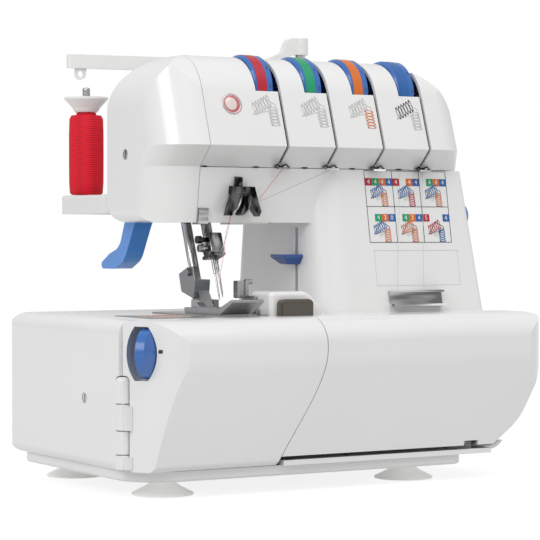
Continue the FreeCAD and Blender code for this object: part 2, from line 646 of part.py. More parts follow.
def chassis():
    """Cast frame: floor, looper walls, column posts, arm plate and bar guides."""
    solids = [box(-128.0, 120.0, -60.0, 66.0, BED_BOTTOM + WALL, FRAME_FLOOR),
              box(-104.0, -98.0, -34.0, 50.0, FRAME_FLOOR, 96.0),
              box(-104.0, 20.0, LOOPER_WALL_Y - 6.0, LOOPER_WALL_Y, FRAME_FLOOR, 74.0),
              box(14.0, 20.0, -36.0, 27.0, FRAME_FLOOR, 164.0),
              box(14.0, 20.0, -26.0, 18.0, 164.0, ARM_PLATE_Z0),
              box(96.0, 102.0, -38.0, 34.0, FRAME_FLOOR, 164.0),
              box(101.0, 110.0, DIFF_Y - 4.0, DIFF_Y + 4.0, DIFF_Z + 6.0, DIFF_Z + 9.0),
              rod_z(DIFF_X, DIFF_Y, DIFF_Z - 6.0, DIFF_Z + 7.0, 2.0),
              box(96.0, 102.0, -26.0, 18.0, 164.0, ARM_PLATE_Z0),
              box(-96.0, 102.0, -6.0, 18.0, ARM_PLATE_Z0, ARM_PLATE_Z1),
              box(-78.0, -75.0, -34.0, -6.0, SHELF_Z0, ARM_PLATE_Z0 + 1.0),
              box(-78.0, -75.0, -6.0, 6.0, 194.0, ARM_PLATE_Z0 + 1.0),
              box(-78.0, -54.0, -34.0, 4.0, SHELF_Z0, SHELF_Z1),
              box(-84.0, -74.0, -6.0, 6.0, ARM_PLATE_Z1, 236.0),
              box(-84.0, -54.0, -10.0, 6.0, 227.0, 236.0),
              box(LEVER_PIVOT_X - 6.0, LEVER_PIVOT_X + 6.0, -11.0, -6.0, ARM_PLATE_Z0, ARM_PLATE_Z1),
              box(-104.0, -88.0, -60.0, 8.0, 98.0, 103.0),
              box(-104.0, 20.0, 8.0, 16.0, 96.0, 103.0),
              box(-104.0, -98.0, -60.0, -34.0, 74.0, 98.0),
              box(-45.4, -40.0, -31.0, 8.0, 73.0, 96.0),
              box(-45.4, 15.0, 8.0, 16.0, 88.0, 97.0)]
    for x in (-20.0, 60.0):
        solids.append(box(x, x + 9.0, COVER_ROD_Y, -58.0, COVER_ROD_Z - 1.8, COVER_ROD_Z + 1.8))
        solids.append(rod_x(x, x + 9.0, COVER_ROD_Y, COVER_ROD_Z, COVER_ROD_R + 0.8))
    frame = union(solids)
    stud = rod(along(NEEDLE_Y, LEVER_PIVOT_X, 208.0, 0.0), along(NEEDLE_Y, LEVER_PIVOT_X, 208.0, 12.0), 4.0)
    post = box(LEVER_PIVOT_X - 6.0, LEVER_PIVOT_X + 6.0, -14.0, -6.0, ARM_PLATE_Z1, 216.0)
    frame = frame.fuse(post.cut(half_space_front())).fuse(stud)
    frame = frame.fuse(rod(V(LOW_LOOPER_X, LOOPER_WALL_Y - 6.0, LOOPER_PIVOT_Z),
                           V(LOW_LOOPER_X, -54.0, LOOPER_PIVOT_Z), 3.0))
    frame = frame.fuse(rod(V(UP_LOOPER_X, LOOPER_WALL_Y - 6.0, LOOPER_PIVOT_Z),
                           V(UP_LOOPER_X, -68.0, LOOPER_PIVOT_Z), 3.0))
    frame = frame.fuse(rod_x(-53.0, -40.0, KNIFE_PIVOT_Y, KNIFE_PIVOT_Z, 3.0))
    frame = frame.fuse(rod_x(LEVER_X - 9.0, -75.0, LEVER_Y, LEVER_Z, 3.0))
    frame = frame.fuse(box(-79.0, -75.0, LEVER_Y - 5.0, LEVER_Y + 4.0, LEVER_Z - 4.0, ARM_PLATE_Z0 + 1.0))
    bores = [rod_x(-110.0, 110.0, LOWER_Y, LOWER_Z, SHAFT_R),
             rod_x(10.0, 110.0, MAIN_Y, MAIN_Z, SHAFT_R),
             rod(along(NEEDLE_Y, NEEDLE_X, 160.0), along(NEEDLE_Y, NEEDLE_X, 250.0), BAR_R),
             rod(along(PRESSER_Y, PRESSER_X, 160.0), along(PRESSER_Y, PRESSER_X, 220.0), BAR_R),
             rod_x(-30.0, 80.0, COVER_ROD_Y, COVER_ROD_Z, COVER_ROD_R),
             box(FEED_X0 - 0.1, FEED_X1 + 0.1, 7.0, 17.0, FEED_Z0 - 0.1, FEED_Z1 + 0.1)]
    for bore in bores:
        frame = frame.cut(bore)
    return frame.removeSplitter()


def half_space_front():
    """Space in front of the needle lever's back face."""
    block = Part.makeBox(60.0, 60.0, 80.0, V(-30.0, -30.0, 0.0))
    spot = along(NEEDLE_Y, LEVER_PIVOT_X, 208.0, 3.5)
    block.Placement = FreeCAD.Placement(spot, FreeCAD.Rotation(V(0, 0, 1), BAR_NORMAL))
    return block


def lower_shaft():
    """Lower shaft with two pulleys and two cranks."""
    parts = [rod_x(-97.0, 108.0, LOWER_Y, LOWER_Z, SHAFT_R - 0.05),
             rod_x(BELT_X, BELT_X + BELT_W, LOWER_Y, LOWER_Z, PULLEY_R),
             rod_x(MOTOR_BELT_X, MOTOR_BELT_X + BELT_W, LOWER_Y, LOWER_Z, BIG_PULLEY_R),
             rod_x(BELT_X - 2.0, BELT_X, LOWER_Y, LOWER_Z, PULLEY_R + 3.0),
             rod_x(-80.0, -72.0, LOWER_Y + 3.0, LOWER_Z, 11.0),
             rod_x(-34.0, -26.0, LOWER_Y - 3.0, LOWER_Z, 11.0)]
    return union(parts)


def wheel_shaft():
    """Handwheel shaft across the column, with its pulley."""
    parts = [rod_x(15.0, 140.0, MAIN_Y, MAIN_Z, SHAFT_R - 0.05),
             rod_x(BELT_X, BELT_X + BELT_W, MAIN_Y, MAIN_Z, PULLEY_R),
             rod_x(BELT_X - 2.0, BELT_X, MAIN_Y, MAIN_Z, PULLEY_R + 3.0)]
    return union(parts)


WHEEL_X = 126.5
WHEEL_R = 26.0


def handwheel():
    """Handwheel with finger grooves and a domed hub."""
    x = WHEEL_X
    profile = [(SHAFT_R, x), (WHEEL_R - 3.0, x), (WHEEL_R, x + 1.5), (WHEEL_R, x + 7.0),
               (WHEEL_R - 2.0, x + 8.5),
               (18.0, x + 9.5), (12.0, x + 13.0), (10.4, x + 20.0), (8.6, x + 24.0), (5.0, RIGHT - 0.6),
               (0.0, RIGHT), (0.0, 141.0), (SHAFT_R, 141.0)]
    wheel = turned(profile, V(0.0, MAIN_Y, MAIN_Z), V(1, 0, 0))
    for i in range(12):
        a = 2.0 * math.pi * i / 12.0
        reach = WHEEL_R + 1.4
        groove = rod_x(x - 1.0, x + 20.0, MAIN_Y + reach * math.cos(a), MAIN_Z + reach * math.sin(a), 2.8)
        wheel = wheel.cut(groove)
    return wheel


def motor():
    """Motor can on the frame floor with its feet."""
    can = rod_x(-4.0, 58.0, MOTOR_Y, MOTOR_Z, 21.0)
    neck = rod_x(58.0, 62.0, MOTOR_Y, MOTOR_Z, 8.0)
    feet = box(2.0, 52.0, 36.0, 64.0, FRAME_FLOOR, 36.0)
    return union([can.cut(box(-FAR, FAR, -FAR, FAR, 0.0, FRAME_FLOOR)), neck, feet])


def motor_pulley():
    """Motor shaft end and its small pulley."""
    return union([rod_x(62.0, 70.0, MOTOR_Y, MOTOR_Z, 3.5),
                  rod_x(70.0, 82.0, MOTOR_Y, MOTOR_Z, SMALL_PULLEY_R)])


def tension_dial(x):
    """Ribbed thumb wheel on the tension shaft."""
    half = TENSION_W / 2.0
    profile = [(3.6, -half), (TENSION_R - 1.6, -half), (TENSION_R, 1.4 - half), (TENSION_R, half - 1.4),
               (TENSION_R - 1.6, half), (3.6, half)]
    return turned(profile, V(x, TENSION_Y, TENSION_Z), V(1, 0, 0))


def tension_shaft():
    """Cross shaft that carries the dials, with its two brackets."""
    left = TENSION_X[0] - 14.0
    right = TENSION_X[3] + 18.0
    parts = [rod_x(left, right, TENSION_Y, TENSION_Z, 3.5)]
    for x in (left, right - 4.0):
        parts.append(front_prism_leg(x))
    return union(parts)


def front_prism_leg(x):
    """Bracket from the arm plate up to the tension shaft."""
    leg = side_prism([(0.0, ARM_PLATE_Z1, 0.0), (14.0, ARM_PLATE_Z1, 0.0), (14.0, 212.0, 3.0),
                      (0.0, 238.0, 6.0),
                      (-15.0, 257.0, 5.0), (-29.0, 257.0, 5.0), (-29.0, 244.0, 5.0), (-6.0, 228.0, 5.0)],
                     x, x + 4.0)
    return leg


def tension_discs():
    """A pair of spring steel discs beside each dial."""
    discs = []
    for x in TENSION_X:
        slot = x + SLOT_DX
        for shift in (-1.4, 0.4):
            ring = rod_x(slot + shift, slot + shift + 1.0, TENSION_Y, TENSION_Z, 11.5)
            discs.append(ring.cut(rod_x(slot - 4.0, slot + 4.0, TENSION_Y, TENSION_Z, 3.5)))
    return discs


def needle_bar():
    """Leaning bar that carries the needle clamp."""
    bar = rod(along(NEEDLE_Y, NEEDLE_X, 146.0), along(NEEDLE_Y, NEEDLE_X, 246.0), BAR_R - 0.05)
    peg = rod(along(NEEDLE_Y, NEEDLE_X, 208.0, 2.0), along(NEEDLE_Y, NEEDLE_X, 208.0, 12.5), 2.0)
    return bar.fuse(peg).removeSplitter()


def tilted_box(centre, half_x, half_n, half_a):
    """Box square to the leaning bars."""
    block = Part.makeBox(2.0 * half_x, 2.0 * half_n, 2.0 * half_a, V(-half_x, -half_n, -half_a))
    block.Placement = FreeCAD.Placement(centre, FreeCAD.Rotation(V(1, 0, 0), -math.degrees(LEAN)))
    return block


def needle_clamp():
    """Clamp block at the bar's lower end with its two screws."""
    low = tilted_box(along(NEEDLE_Y, NEEDLE_X, 150.6, 3.8), 4.8, 5.6, 6.6)
    low = soften(low, 0.9, lambda p: True)
    lip = tilted_box(along(NEEDLE_Y, NEEDLE_X, 144.0, 3.0), 5.6, 5.2, 0.9)
    collar = rod(along(NEEDLE_Y, NEEDLE_X, 147.0), along(NEEDLE_Y, NEEDLE_X, 156.0), 5.0)
    screws = []
    for z, forward in ((153.6, 4.6), (148.0, 5.6)):
        p = along(NEEDLE_Y, NEEDLE_X, z, forward)
        screws.append(rod(V(NEEDLE_X - 8.5, p.y, p.z), V(NEEDLE_X - 4.0, p.y, p.z), 1.5))
        screws.append(rod(V(NEEDLE_X - 11.5, p.y, p.z), V(NEEDLE_X - 8.5, p.y, p.z), 2.5))
    low = low.fuse(lip)
    whole = union([low, collar] + screws)
    for dx in NEEDLE_PAIR:
        top = along(NEEDLE_Y, NEEDLE_X + dx, NEEDLE_TOP, NEEDLE_OUT)
        whole = whole.cut(rod(along(NEEDLE_Y, NEEDLE_X + dx, 140.0, NEEDLE_OUT), top, SHANK_R))
    return whole.cut(rod(along(NEEDLE_Y, NEEDLE_X, 146.0), along(NEEDLE_Y, NEEDLE_X, 170.0), BAR_R - 0.05))


def needles():
    """Two needles side by side, the right one a little higher."""
    parts = []
    for dx, drop in zip(NEEDLE_PAIR, (0.0, 1.6)):
        top = along(NEEDLE_Y, NEEDLE_X + dx, NEEDLE_TOP, NEEDLE_OUT)
        neck = along(NEEDLE_Y, NEEDLE_X + dx, 133.0 + drop, NEEDLE_OUT)
        shank = rod(top, neck, SHANK_R)
        blade = rod(neck, along(NEEDLE_Y, NEEDLE_X + dx, 120.0 + drop, NEEDLE_OUT), 0.55)
        tip = Part.makeCone(0.55, 0.1, 4.0, along(NEEDLE_Y, NEEDLE_X + dx, 120.0 + drop, NEEDLE_OUT),
                            BAR_AXIS * -1.0)
        parts.append(union([shank, blade, tip]))
    return Part.makeCompound(parts)


def needle_lever():
    """Rocker from its stud to the needle bar's peg."""
    pivot = along(NEEDLE_Y, LEVER_PIVOT_X, 208.0, 4.0)
    far = along(NEEDLE_Y, LEVER_PIVOT_X, 208.0, 9.0)
    hub = rod(pivot, far, 7.5)
    arm = tilted_box(along(NEEDLE_Y, (LEVER_PIVOT_X + NEEDLE_X) / 2.0 - 3.5, 208.0, 6.5), 35.0, 2.5, 5.2)
    slot = tilted_box(along(NEEDLE_Y, NEEDLE_X - 1.5, 208.0, 6.5), 6.0, 4.0, 3.0)
    lever = hub.fuse(arm).cut(slot)
    return lever.cut(rod(along(NEEDLE_Y, LEVER_PIVOT_X, 208.0, 0.0),
                         along(NEEDLE_Y, LEVER_PIVOT_X, 208.0, 14.0), 4.1)).removeSplitter()


def presser_bar():
    """Leaning bar of the presser foot."""
    bar = rod(along(PRESSER_Y, PRESSER_X, ANKLE_SEAT), along(PRESSER_Y, PRESSER_X, 214.0), BAR_R - 0.05)
    collar = rod(along(PRESSER_Y, PRESSER_X, 180.0), along(PRESSER_Y, PRESSER_X, 186.0), 5.6)
    tab = box(-89.0, PRESSER_X, 0.5, 3.5, 180.5, 185.0)
    return union([bar, collar, tab]).removeSplitter()


ANKLE_SEAT = 126.0
ANKLE_CHEEK = [(-7.8, 133.4, 1.0), (-18.4, 137.5, 1.0), (-26.4, 138.4, 1.0), (-29.0, 130.0, 2.0),
               (-27.3, 117.8, 1.0),
               (-11.2, 122.0, 2.0)]


def presser_ankle():
    """Ankle: a shaped cheek beside the bar, the block that seats the bar, and the foot's tongue."""
    cheek = side_prism(ANKLE_CHEEK, PRESSER_X - 7.0, PRESSER_X - 3.6)
    cheek = soften(cheek, 0.7, lambda p: p.x < PRESSER_X - 6.99)
    block = side_prism([(-27.0, 117.8, 0.5), (-28.6, 130.0, 0.5), (-12.0, 130.0, 2.0), (-14.0, 121.2, 2.0)],
                       PRESSER_X - 4.0, PRESSER_X + 4.6)
    toe = side_prism([(-35.0, 113.0, 0.0), (-24.0, 113.0, 2.0), (-18.0, 122.0, 2.0), (-27.0, 124.0, 1.0)],
                     PRESSER_X - 4.0, PRESSER_X + 4.0)
    screw = rod_x(PRESSER_X - 9.0, PRESSER_X - 6.0, -22.0, 134.6, 2.4)
    slot = box(PRESSER_X - 9.5, PRESSER_X - 8.0, -24.5, -19.5, 134.2, 135.0)
    whole = union([cheek, block, toe, screw]).cut(slot)
    return whole.cut(rod(along(PRESSER_Y, PRESSER_X, ANKLE_SEAT), along(PRESSER_Y, PRESSER_X, 150.0),
                         BAR_R - 0.05))


FOOT_X0 = -77.0
FOOT_X1 = -54.5
PLATE_TOP = 109.0


def presser_foot():
    """Sole with a turned-up toe, a needle slot and a hinge lug."""
    sole = side_prism([(-24.0, PLATE_TOP + 0.1, 0.0), (-22.0, 112.6, 1.0), (-66.0, 112.6, 6.0),
                       (-83.0, 119.0, 1.0),
                       (-83.6, 117.0, 0.0), (-68.0, PLATE_TOP + 0.1, 6.0)], FOOT_X0, FOOT_X1)
    sole = sole.cut(box(-68.5, -59.5, -60.0, -37.5, 100.0, 120.0))
    lugs = [box(PRESSER_X + 4.2, PRESSER_X + 7.2, -35.0, -25.0, 112.0, 117.4),
            box(PRESSER_X - 7.2, PRESSER_X - 4.2, -35.0, -25.0, 112.0, 117.4)]
    spring = side_prism([(-62.0, 112.2, 0.0), (-36.0, 112.2, 0.0), (-34.0, 115.6, 0.0), (-36.0, 115.9, 0.0),
                         (-40.0, 113.4, 2.0), (-62.0, 113.2, 0.0)], FOOT_X0 + 1.5, FOOT_X0 + 6.5)
    return union([sole, spring] + lugs)


def presser_lifter():
    """Blue lifter: hub inside the arm, stem and a finger paddle behind."""
    path = [(4.0, 175.0, 0.0), (20.0, 181.0, 3.0), (25.0, 168.0, 6.0), (33.0, 150.0, 14.0), (47.0, 146.0, 4.0),
            (60.0, 139.5, 2.0), (57.5, 136.0, 1.0), (40.0, 136.0, 6.0), (26.0, 142.0, 16.0),
            (13.0, 163.0, 12.0)]
    stem = side_prism(path, LEVER_X - LEVER_W / 2.0, LEVER_X + LEVER_W / 2.0)
    hub = rod_x(LEVER_X - LEVER_W / 2.0, LEVER_X + LEVER_W / 2.0, LEVER_Y, LEVER_Z, 7.0)
    lever = union([stem, hub])
    lever = soften(lever, 1.6, lambda p: abs(abs(p.x - LEVER_X) - LEVER_W / 2.0) < 0.01)
    return lever.cut(rod_x(-100.0, -70.0, LEVER_Y, LEVER_Z, 3.1))


def needle_plate():
    """Steel plate with feed and needle slots and a stitch finger."""
    plate = box(-85.7, -48.3, -65.7, 3.7, 105.8, PLATE_TOP)
    for x in (-75.0, -67.0, -59.0):
        plate = plate.cut(box(x - 2.0, x + 2.0, -57.5, -23.5, 100.0, 120.0))
    plate = plate.cut(box(-70.0, -58.0, -56.5, -46.0, 100.0, 120.0))
    finger = box(NEEDLE_X - 0.55, NEEDLE_X + 0.55, -60.0, -48.0, 106.6, 108.2)
    rest = box(-87.7, -86.0, -60.0, 0.0, 103.0, 105.4)
    plate = plate.fuse(finger).removeSplitter()
    return plate.cut(rest)


def feed_dogs():
    """Toothed feed bars on a carrier under the plate."""
    carrier = box(FEED_X0, -57.0, -54.0, -26.0, FEED_Z0, FEED_Z1)
    carrier = carrier.cut(box(-71.0, -55.0, -54.5, -40.0, 96.0, 102.0))
    bars = []
    for x, y0 in ((-75.0, -53.0), (-59.0, -39.0)):
        comb = [(y0, 100.5), (-27.0, 100.5), (-27.0, 108.6)]
        steps = 8
        for i in range(steps):
            b = -27.0 + (y0 + 27.0) * (i + 0.5) / steps
            c = -27.0 + (y0 + 27.0) * (i + 1.0) / steps
            comb.append((b, 107.4))
            comb.append((c, 108.6))
        bars.append(side_prism(comb, x - 1.5, x + 1.5))
    arm = box(FEED_X0, FEED_X1, -26.0, 22.0, FEED_Z0, FEED_Z1)
    return union([carrier, arm] + bars)


def low_looper():
    """Lower looper: hub, arm and a hooked blade that points right."""
    hub = rod(V(LOW_LOOPER_X, -37.0, LOOPER_PIVOT_Z), V(LOW_LOOPER_X, -53.0, LOOPER_PIVOT_Z), 6.0)
    arm = front_prism([(-78.0, 60.0, 0.0), (-70.0, 60.0, 0.0), (-74.5, 88.0, 2.0), (-62.0, 92.0, 1.0),
                       (-60.0, 94.0, 0.5), (-76.0, 93.0, 2.0), (-81.0, 88.0, 3.0)], -50.0, -46.0)
    bore = rod(V(LOW_LOOPER_X, -30.0, LOOPER_PIVOT_Z), V(LOW_LOOPER_X, -60.0, LOOPER_PIVOT_Z), 3.1)
    return union([hub, arm]).cut(bore)


def up_looper():
    """Upper looper: hub, arm and a blade that rises to the left."""
    hub = rod(V(UP_LOOPER_X, -56.0, LOOPER_PIVOT_Z), V(UP_LOOPER_X, -67.0, LOOPER_PIVOT_Z), 6.0)
    arm = front_prism([(-34.0, 60.0, 0.0), (-26.0, 60.0, 0.0), (-24.0, 84.0, 3.0), (-36.0, 101.0, 1.0),
                       (-38.0, 101.5, 0.4), (-31.0, 84.0, 4.0)], -64.0, -60.0)
    bore = rod(V(UP_LOOPER_X, -40.0, LOOPER_PIVOT_Z), V(UP_LOOPER_X, -75.0, LOOPER_PIVOT_Z), 3.1)
    return union([hub, arm]).cut(bore)


def upper_knife():
    """Moving knife: swing arm from its stud to the blade at the plate's right edge."""
    hub = rod_x(-53.0, -47.2, KNIFE_PIVOT_Y, KNIFE_PIVOT_Z, 6.0)
    arm = side_prism([(-14.0, 82.0, 1.0), (-16.0, 90.0, 3.0), (-46.0, 92.0, 2.0), (-54.0, 103.0, 2.0),
                      (-55.0, 113.5, 0.0), (-62.5, 112.0, 0.0), (-62.0, 92.0, 4.0), (-48.0, 84.0, 4.0),
                      (-22.0, 80.0, 2.0)], -47.9, -45.9)
    link = box(-48.5, -47.0, -24.0, -14.0, 80.0, 88.0)
    bore = rod_x(-60.0, -30.0, KNIFE_PIVOT_Y, KNIFE_PIVOT_Z, 3.1)
    post = box(-47.9, -45.9, -60.0, -53.5, 104.0, 117.0).fuse(box(-47.9, -45.9, -60.0, -45.0, 114.5, 120.0))
    holder = soften(box(-54.0, -45.9, -51.0, -44.5, 118.5, 129.5), 0.8, lambda p: True)
    groove = box(-50.6, -48.6, -52.0, -50.0, 117.0, 131.0)
    knob = soften(rod_x(-47.0, -42.2, -47.8, 128.8, 1.7), 0.4, lambda p: p.x > -42.3)
    return union([hub, arm, link, post, holder, knob]).cut(groove).cut(bore)


def lower_knife():
    """Fixed knife against the needle plate's right edge."""
    return side_prism([(-50.0, 96.0, 0.0), (-50.0, 108.6, 0.0), (-61.0, 108.6, 0.0), (-61.0, 96.0, 0.0)],
                      -50.2, -48.25).cut(needle_plate())


HUMP_X0 = -44.5
HUMP_X1 = -6.0
HUMP_TOP = 123.0
GUARD_TOP = 118.5


def hump_cover():
    """White hump over the knife and upper looper."""
    shape = [(HUMP_X0, BED_TOP, 0.0), (HUMP_X1, BED_TOP, 0.0), (HUMP_X1, 113.0, 3.0), (-17.0, HUMP_TOP, 10.0),
             (HUMP_X0, HUMP_TOP, 3.0)]
    outer = front_prism(shape, -74.5, -49.5)
    outer = soften(outer, 3.0, lambda p: p.z > BED_TOP + 1.0 and (p.y < -74.4 or p.y > -49.6))
    room = front_prism(inset(shape, 2.0), -72.5, -51.5)
    return outer.cut(room.fuse(box(HUMP_X0 + 2.0, HUMP_X1 - 2.0, -72.5, -51.5, 100.0, 111.0)))


def chip_guard():
    """Smoked guard in front of the hump."""
    guard = box(-40.0, -18.0, -82.4, -75.0, BED_TOP, GUARD_TOP)
    guard = soften(guard, 3.0, lambda p: p.z > GUARD_TOP - 0.1)
    return guard.cut(box(-38.5, -19.5, -81.0, -76.4, 100.0, GUARD_TOP - 1.5))


def width_dial():
    """Blue cutting-width wheel on a short pin held by the cover."""
    wheel = egg(DIAL_HALF, DIAL_R, 0.0)
    pin = rod(DIAL_AT, DIAL_AT - DIAL_AXIS * (DIAL_HALF + 2.6), DIAL_PIN_R)
    return wheel.fuse(pin).removeSplitter()


def knife_release():
    """Blue slide button in the slot on the column's inner side."""
    paddle = front_prism([(COL_LEFT - 0.4, SLIDER_Z - 3.0, 0.0), (COL_LEFT - 9.0, SLIDER_Z - 3.0, 4.0),
                          (COL_LEFT - 15.0, SLIDER_Z + 2.0, 1.0), (COL_LEFT - 15.0, SLIDER_Z + 3.6, 0.8),
                          (COL_LEFT - 0.4, SLIDER_Z + 3.6, 0.0)], SLIDER_Y - 8.0, SLIDER_Y + 8.0)
    boat = side_prism([(SLIDER_Y - 8.0, SLIDER_Z + 3.6, 0.0), (SLIDER_Y - 8.0, SLIDER_Z + 2.0, 1.0),
                       (SLIDER_Y - 4.6, SLIDER_Z - 3.0, 3.0), (SLIDER_Y + 4.6, SLIDER_Z - 3.0, 3.0),
                       (SLIDER_Y + 8.0, SLIDER_Z + 2.0, 1.0), (SLIDER_Y + 8.0, SLIDER_Z + 3.6, 0.0)],
                      COL_LEFT - 20.0, COL_LEFT)
    paddle = paddle.common(boat)
    neck = box(COL_LEFT - 1.0, COL_LEFT + 4.0, SLIDER_Y - 1.4, SLIDER_Y + 1.4, SLIDER_Z - 2.6, SLIDER_Z + 3.2)
    plate = box(COL_LEFT + WALL + 0.2, COL_LEFT + WALL + 1.8, SLIDER_Y - 3.2, SLIDER_Y + 3.2,
                SLIDER_Z - 9.0, SLIDER_Z + 9.0)
    return union([paddle, neck, plate])


def stitch_dial():
    """Stitch length dial on the right side of the column."""
    face = COL_RIGHT_LOW + (COL_RIGHT_HIGH - COL_RIGHT_LOW) * (SPEED_Z - BED_TOP) / (PANEL_BOTTOM - BED_TOP)
    knob = rod_x(face - 6.0, face + 10.0, SPEED_Y, SPEED_Z, 12.0)
    knob = soften(knob, 1.5, lambda p: p.x > face + 9.9)
    ridge = box(face + 9.0, face + 13.0, SPEED_Y - 1.5, SPEED_Y + 1.5, SPEED_Z - 10.0, SPEED_Z + 10.0)
    stem = rod_x(102.2, face - 5.0, SPEED_Y, SPEED_Z, 4.0)
    return union([knob, ridge, stem])


def differential_lever():
    """Differential feed lever in its slot on the right side of the column."""
    face = COL_RIGHT_LOW + (COL_RIGHT_HIGH - COL_RIGHT_LOW) * (DIFF_Z - BED_TOP) / (PANEL_BOTTOM - BED_TOP)
    arm = box(DIFF_X - 2.0, face + 10.0, DIFF_Y - 2.5, DIFF_Y + 2.5, DIFF_Z - 1.6, DIFF_Z + 1.6)
    knob = box(face + 9.0, face + 20.0, DIFF_Y - 5.0, DIFF_Y + 5.0, DIFF_Z - 3.6, DIFF_Z + 3.6)
    knob = soften(knob, 1.6, lambda p: True)
    hub = rod_z(DIFF_X, DIFF_Y, DIFF_Z - 4.0, DIFF_Z + 4.0, 3.8)
    return union([arm, knob, hub]).cut(rod_z(DIFF_X, DIFF_Y, DIFF_Z - 9.0, DIFF_Z + 9.0, 2.1))


def power_inlet():
    """Two-pin inlet for the mains lead."""
    block = box(BODY_RIGHT - 18.0, BODY_RIGHT + 0.6, INLET_Y - 13.0, INLET_Y + 13.0, INLET_Z - 9.0,
                INLET_Z + 9.0)
    room = box(BODY_RIGHT - INLET_DEPTH, BODY_RIGHT + 2.0, INLET_Y - 9.0, INLET_Y + 9.0, INLET_Z - 5.0,
               INLET_Z + 5.0)
    return block.cut(room)


def inlet_pins():
    """The inlet's two contact pins, standing on the floor of its recess."""
    return [rod_x(BODY_RIGHT - INLET_DEPTH, BODY_RIGHT - 3.0, INLET_Y + dy, INLET_Z, 1.2) for dy in (-4.0, 4.0)]


def power_switch():
    """Rocker switch for motor and lamp."""
    rocker = box(BODY_RIGHT - 6.0, BODY_RIGHT + 3.0, SWITCH_Y - 9.4, SWITCH_Y + 9.4, SWITCH_Z - 5.8,
                 SWITCH_Z + 5.8)
    crown = plan_prism([(BODY_RIGHT - 7.0, SWITCH_Y - 8.4, 0.0), (BODY_RIGHT - 1.0, SWITCH_Y - 9.0, 0.0),
                        (BODY_RIGHT + 2.6, SWITCH_Y - 8.6, 0.0), (BODY_RIGHT + 0.4, SWITCH_Y, 14.0),
                        (BODY_RIGHT + 2.6, SWITCH_Y + 8.6, 0.0), (BODY_RIGHT - 1.0, SWITCH_Y + 9.0, 0.0),
                        (BODY_RIGHT - 7.0, SWITCH_Y + 8.4, 0.0)], 0.0, 120.0)
    trunnion = rod_z(BODY_RIGHT - 4.0, SWITCH_Y, SWITCH_Z - 6.1, SWITCH_Z + 6.1, 1.5)
    return rocker.common(crown).fuse(trunnion).removeSplitter()


def spool_stand():
    """Tray for four spools with its bracket to the column."""
    tray = plan_prism(rect(TRAY_LEFT, TRAY_RIGHT, TRAY_FRONT, REAR, 10.0), TRAY_Z, TRAY_Z + TRAY_H)
    tray = soften(tray, 2.0, lambda p: p.z > TRAY_Z + TRAY_H - 0.01)
    under = plan_prism(rect(TRAY_LEFT + 4.0, TRAY_RIGHT - 4.0, TRAY_FRONT + 4.0, REAR - 4.0, 8.0),
                       TRAY_Z - 1.0, TRAY_Z + TRAY_H - 3.0)
    tray = tray.cut(under)
    for x in SPOOL_X:
        tray = tray.fuse(rod_z(x, SPOOL_Y, TRAY_Z, TRAY_Z + TRAY_H, 6.0))
        tray = tray.cut(rod_z(x, SPOOL_Y, TRAY_Z + 1.0, TRAY_Z + 40.0, SPOOL_PIN_R))
    tray = tray.fuse(rod_z(MAST_X, MAST_Y, TRAY_Z, TRAY_Z + TRAY_H, 9.0))
    tray = tray.cut(rod_z(MAST_X, MAST_Y, TRAY_Z + 1.0, TRAY_Z + 40.0, TUBE_R))
    bracket = box(20.0, 90.0, TRAY_FRONT + 2.0, 44.0, COL_CAP_Z, TRAY_Z + TRAY_H - 2.0)
    return tray.fuse(bracket).removeSplitter()


def spool_pins():
    """Steel pins that carry the spools."""
    pins = []
    for x in SPOOL_X:
        pin = rod_z(x, SPOOL_Y, TRAY_Z + 1.0, SPOOL_PIN_TOP, SPOOL_PIN_R)
        pins.append(soften(pin, 1.4, lambda p: p.z > SPOOL_PIN_TOP - 0.1))
    return Part.makeCompound(pins)


SPOOL_BASE = TRAY_Z + TRAY_H + SPOOL_TOP_GAP


def thread_spool(x):
    """Wound thread on its core."""
    top = SPOOL_BASE + SPOOL_H
    bore = SPOOL_PIN_R + 0.4
    profile = [(bore, SPOOL_BASE), (10.6, SPOOL_BASE), (SPOOL_R, SPOOL_BASE + 2.4), (SPOOL_R, top - 2.4),
               (10.6, top), (bore, top)]
    return turned(profile, V(x, SPOOL_Y, 0.0), V(0, 0, 1))


def spool_cap(x):
    """White dish cap pressed on the pin above the spool."""
    base = SPOOL_BASE + SPOOL_H + 0.3
    profile = [(SPOOL_PIN_R, base), (7.6, base), (9.4, base + 3.0), (14.6, base + 8.6), (14.6, base + 10.0),
               (13.2, base + 10.0), (8.2, base + 4.6), (4.6, base + 4.0), (4.6, base + 9.0),
               (SPOOL_PIN_R, base + 9.0)]
    return turned(profile, V(x, SPOOL_Y, 0.0), V(0, 0, 1))


def spool_caps():
    """The four caps."""
    return Part.makeCompound([spool_cap(x) for x in SPOOL_X])


MIDDLE_R = MAST_R + MAST_FIT + MAST_WALL
TUBE_R = MIDDLE_R + MAST_FIT + MAST_WALL


def mast_tube():
    """Outer tube of the telescopic thread mast."""
    tube = rod_z(MAST_X, MAST_Y, TRAY_Z + 1.0, 258.0, TUBE_R)
    return tube.cut(rod_z(MAST_X, MAST_Y, TRAY_Z + 3.0, 300.0, MIDDLE_R + MAST_FIT))


def mast_middle():
    """Middle tube that pulls up out of the outer one."""
    tube = rod_z(MAST_X, MAST_Y, TRAY_Z + 3.5, 262.0, MIDDLE_R)
    return tube.cut(rod_z(MAST_X, MAST_Y, TRAY_Z + 4.5, 300.0, MAST_R + MAST_FIT))


def mast_rod():
    """Inner rod that pulls up out of the middle tube."""
    return rod_z(MAST_X, MAST_Y, TRAY_Z + 5.0, BORE_TOP, MAST_R)


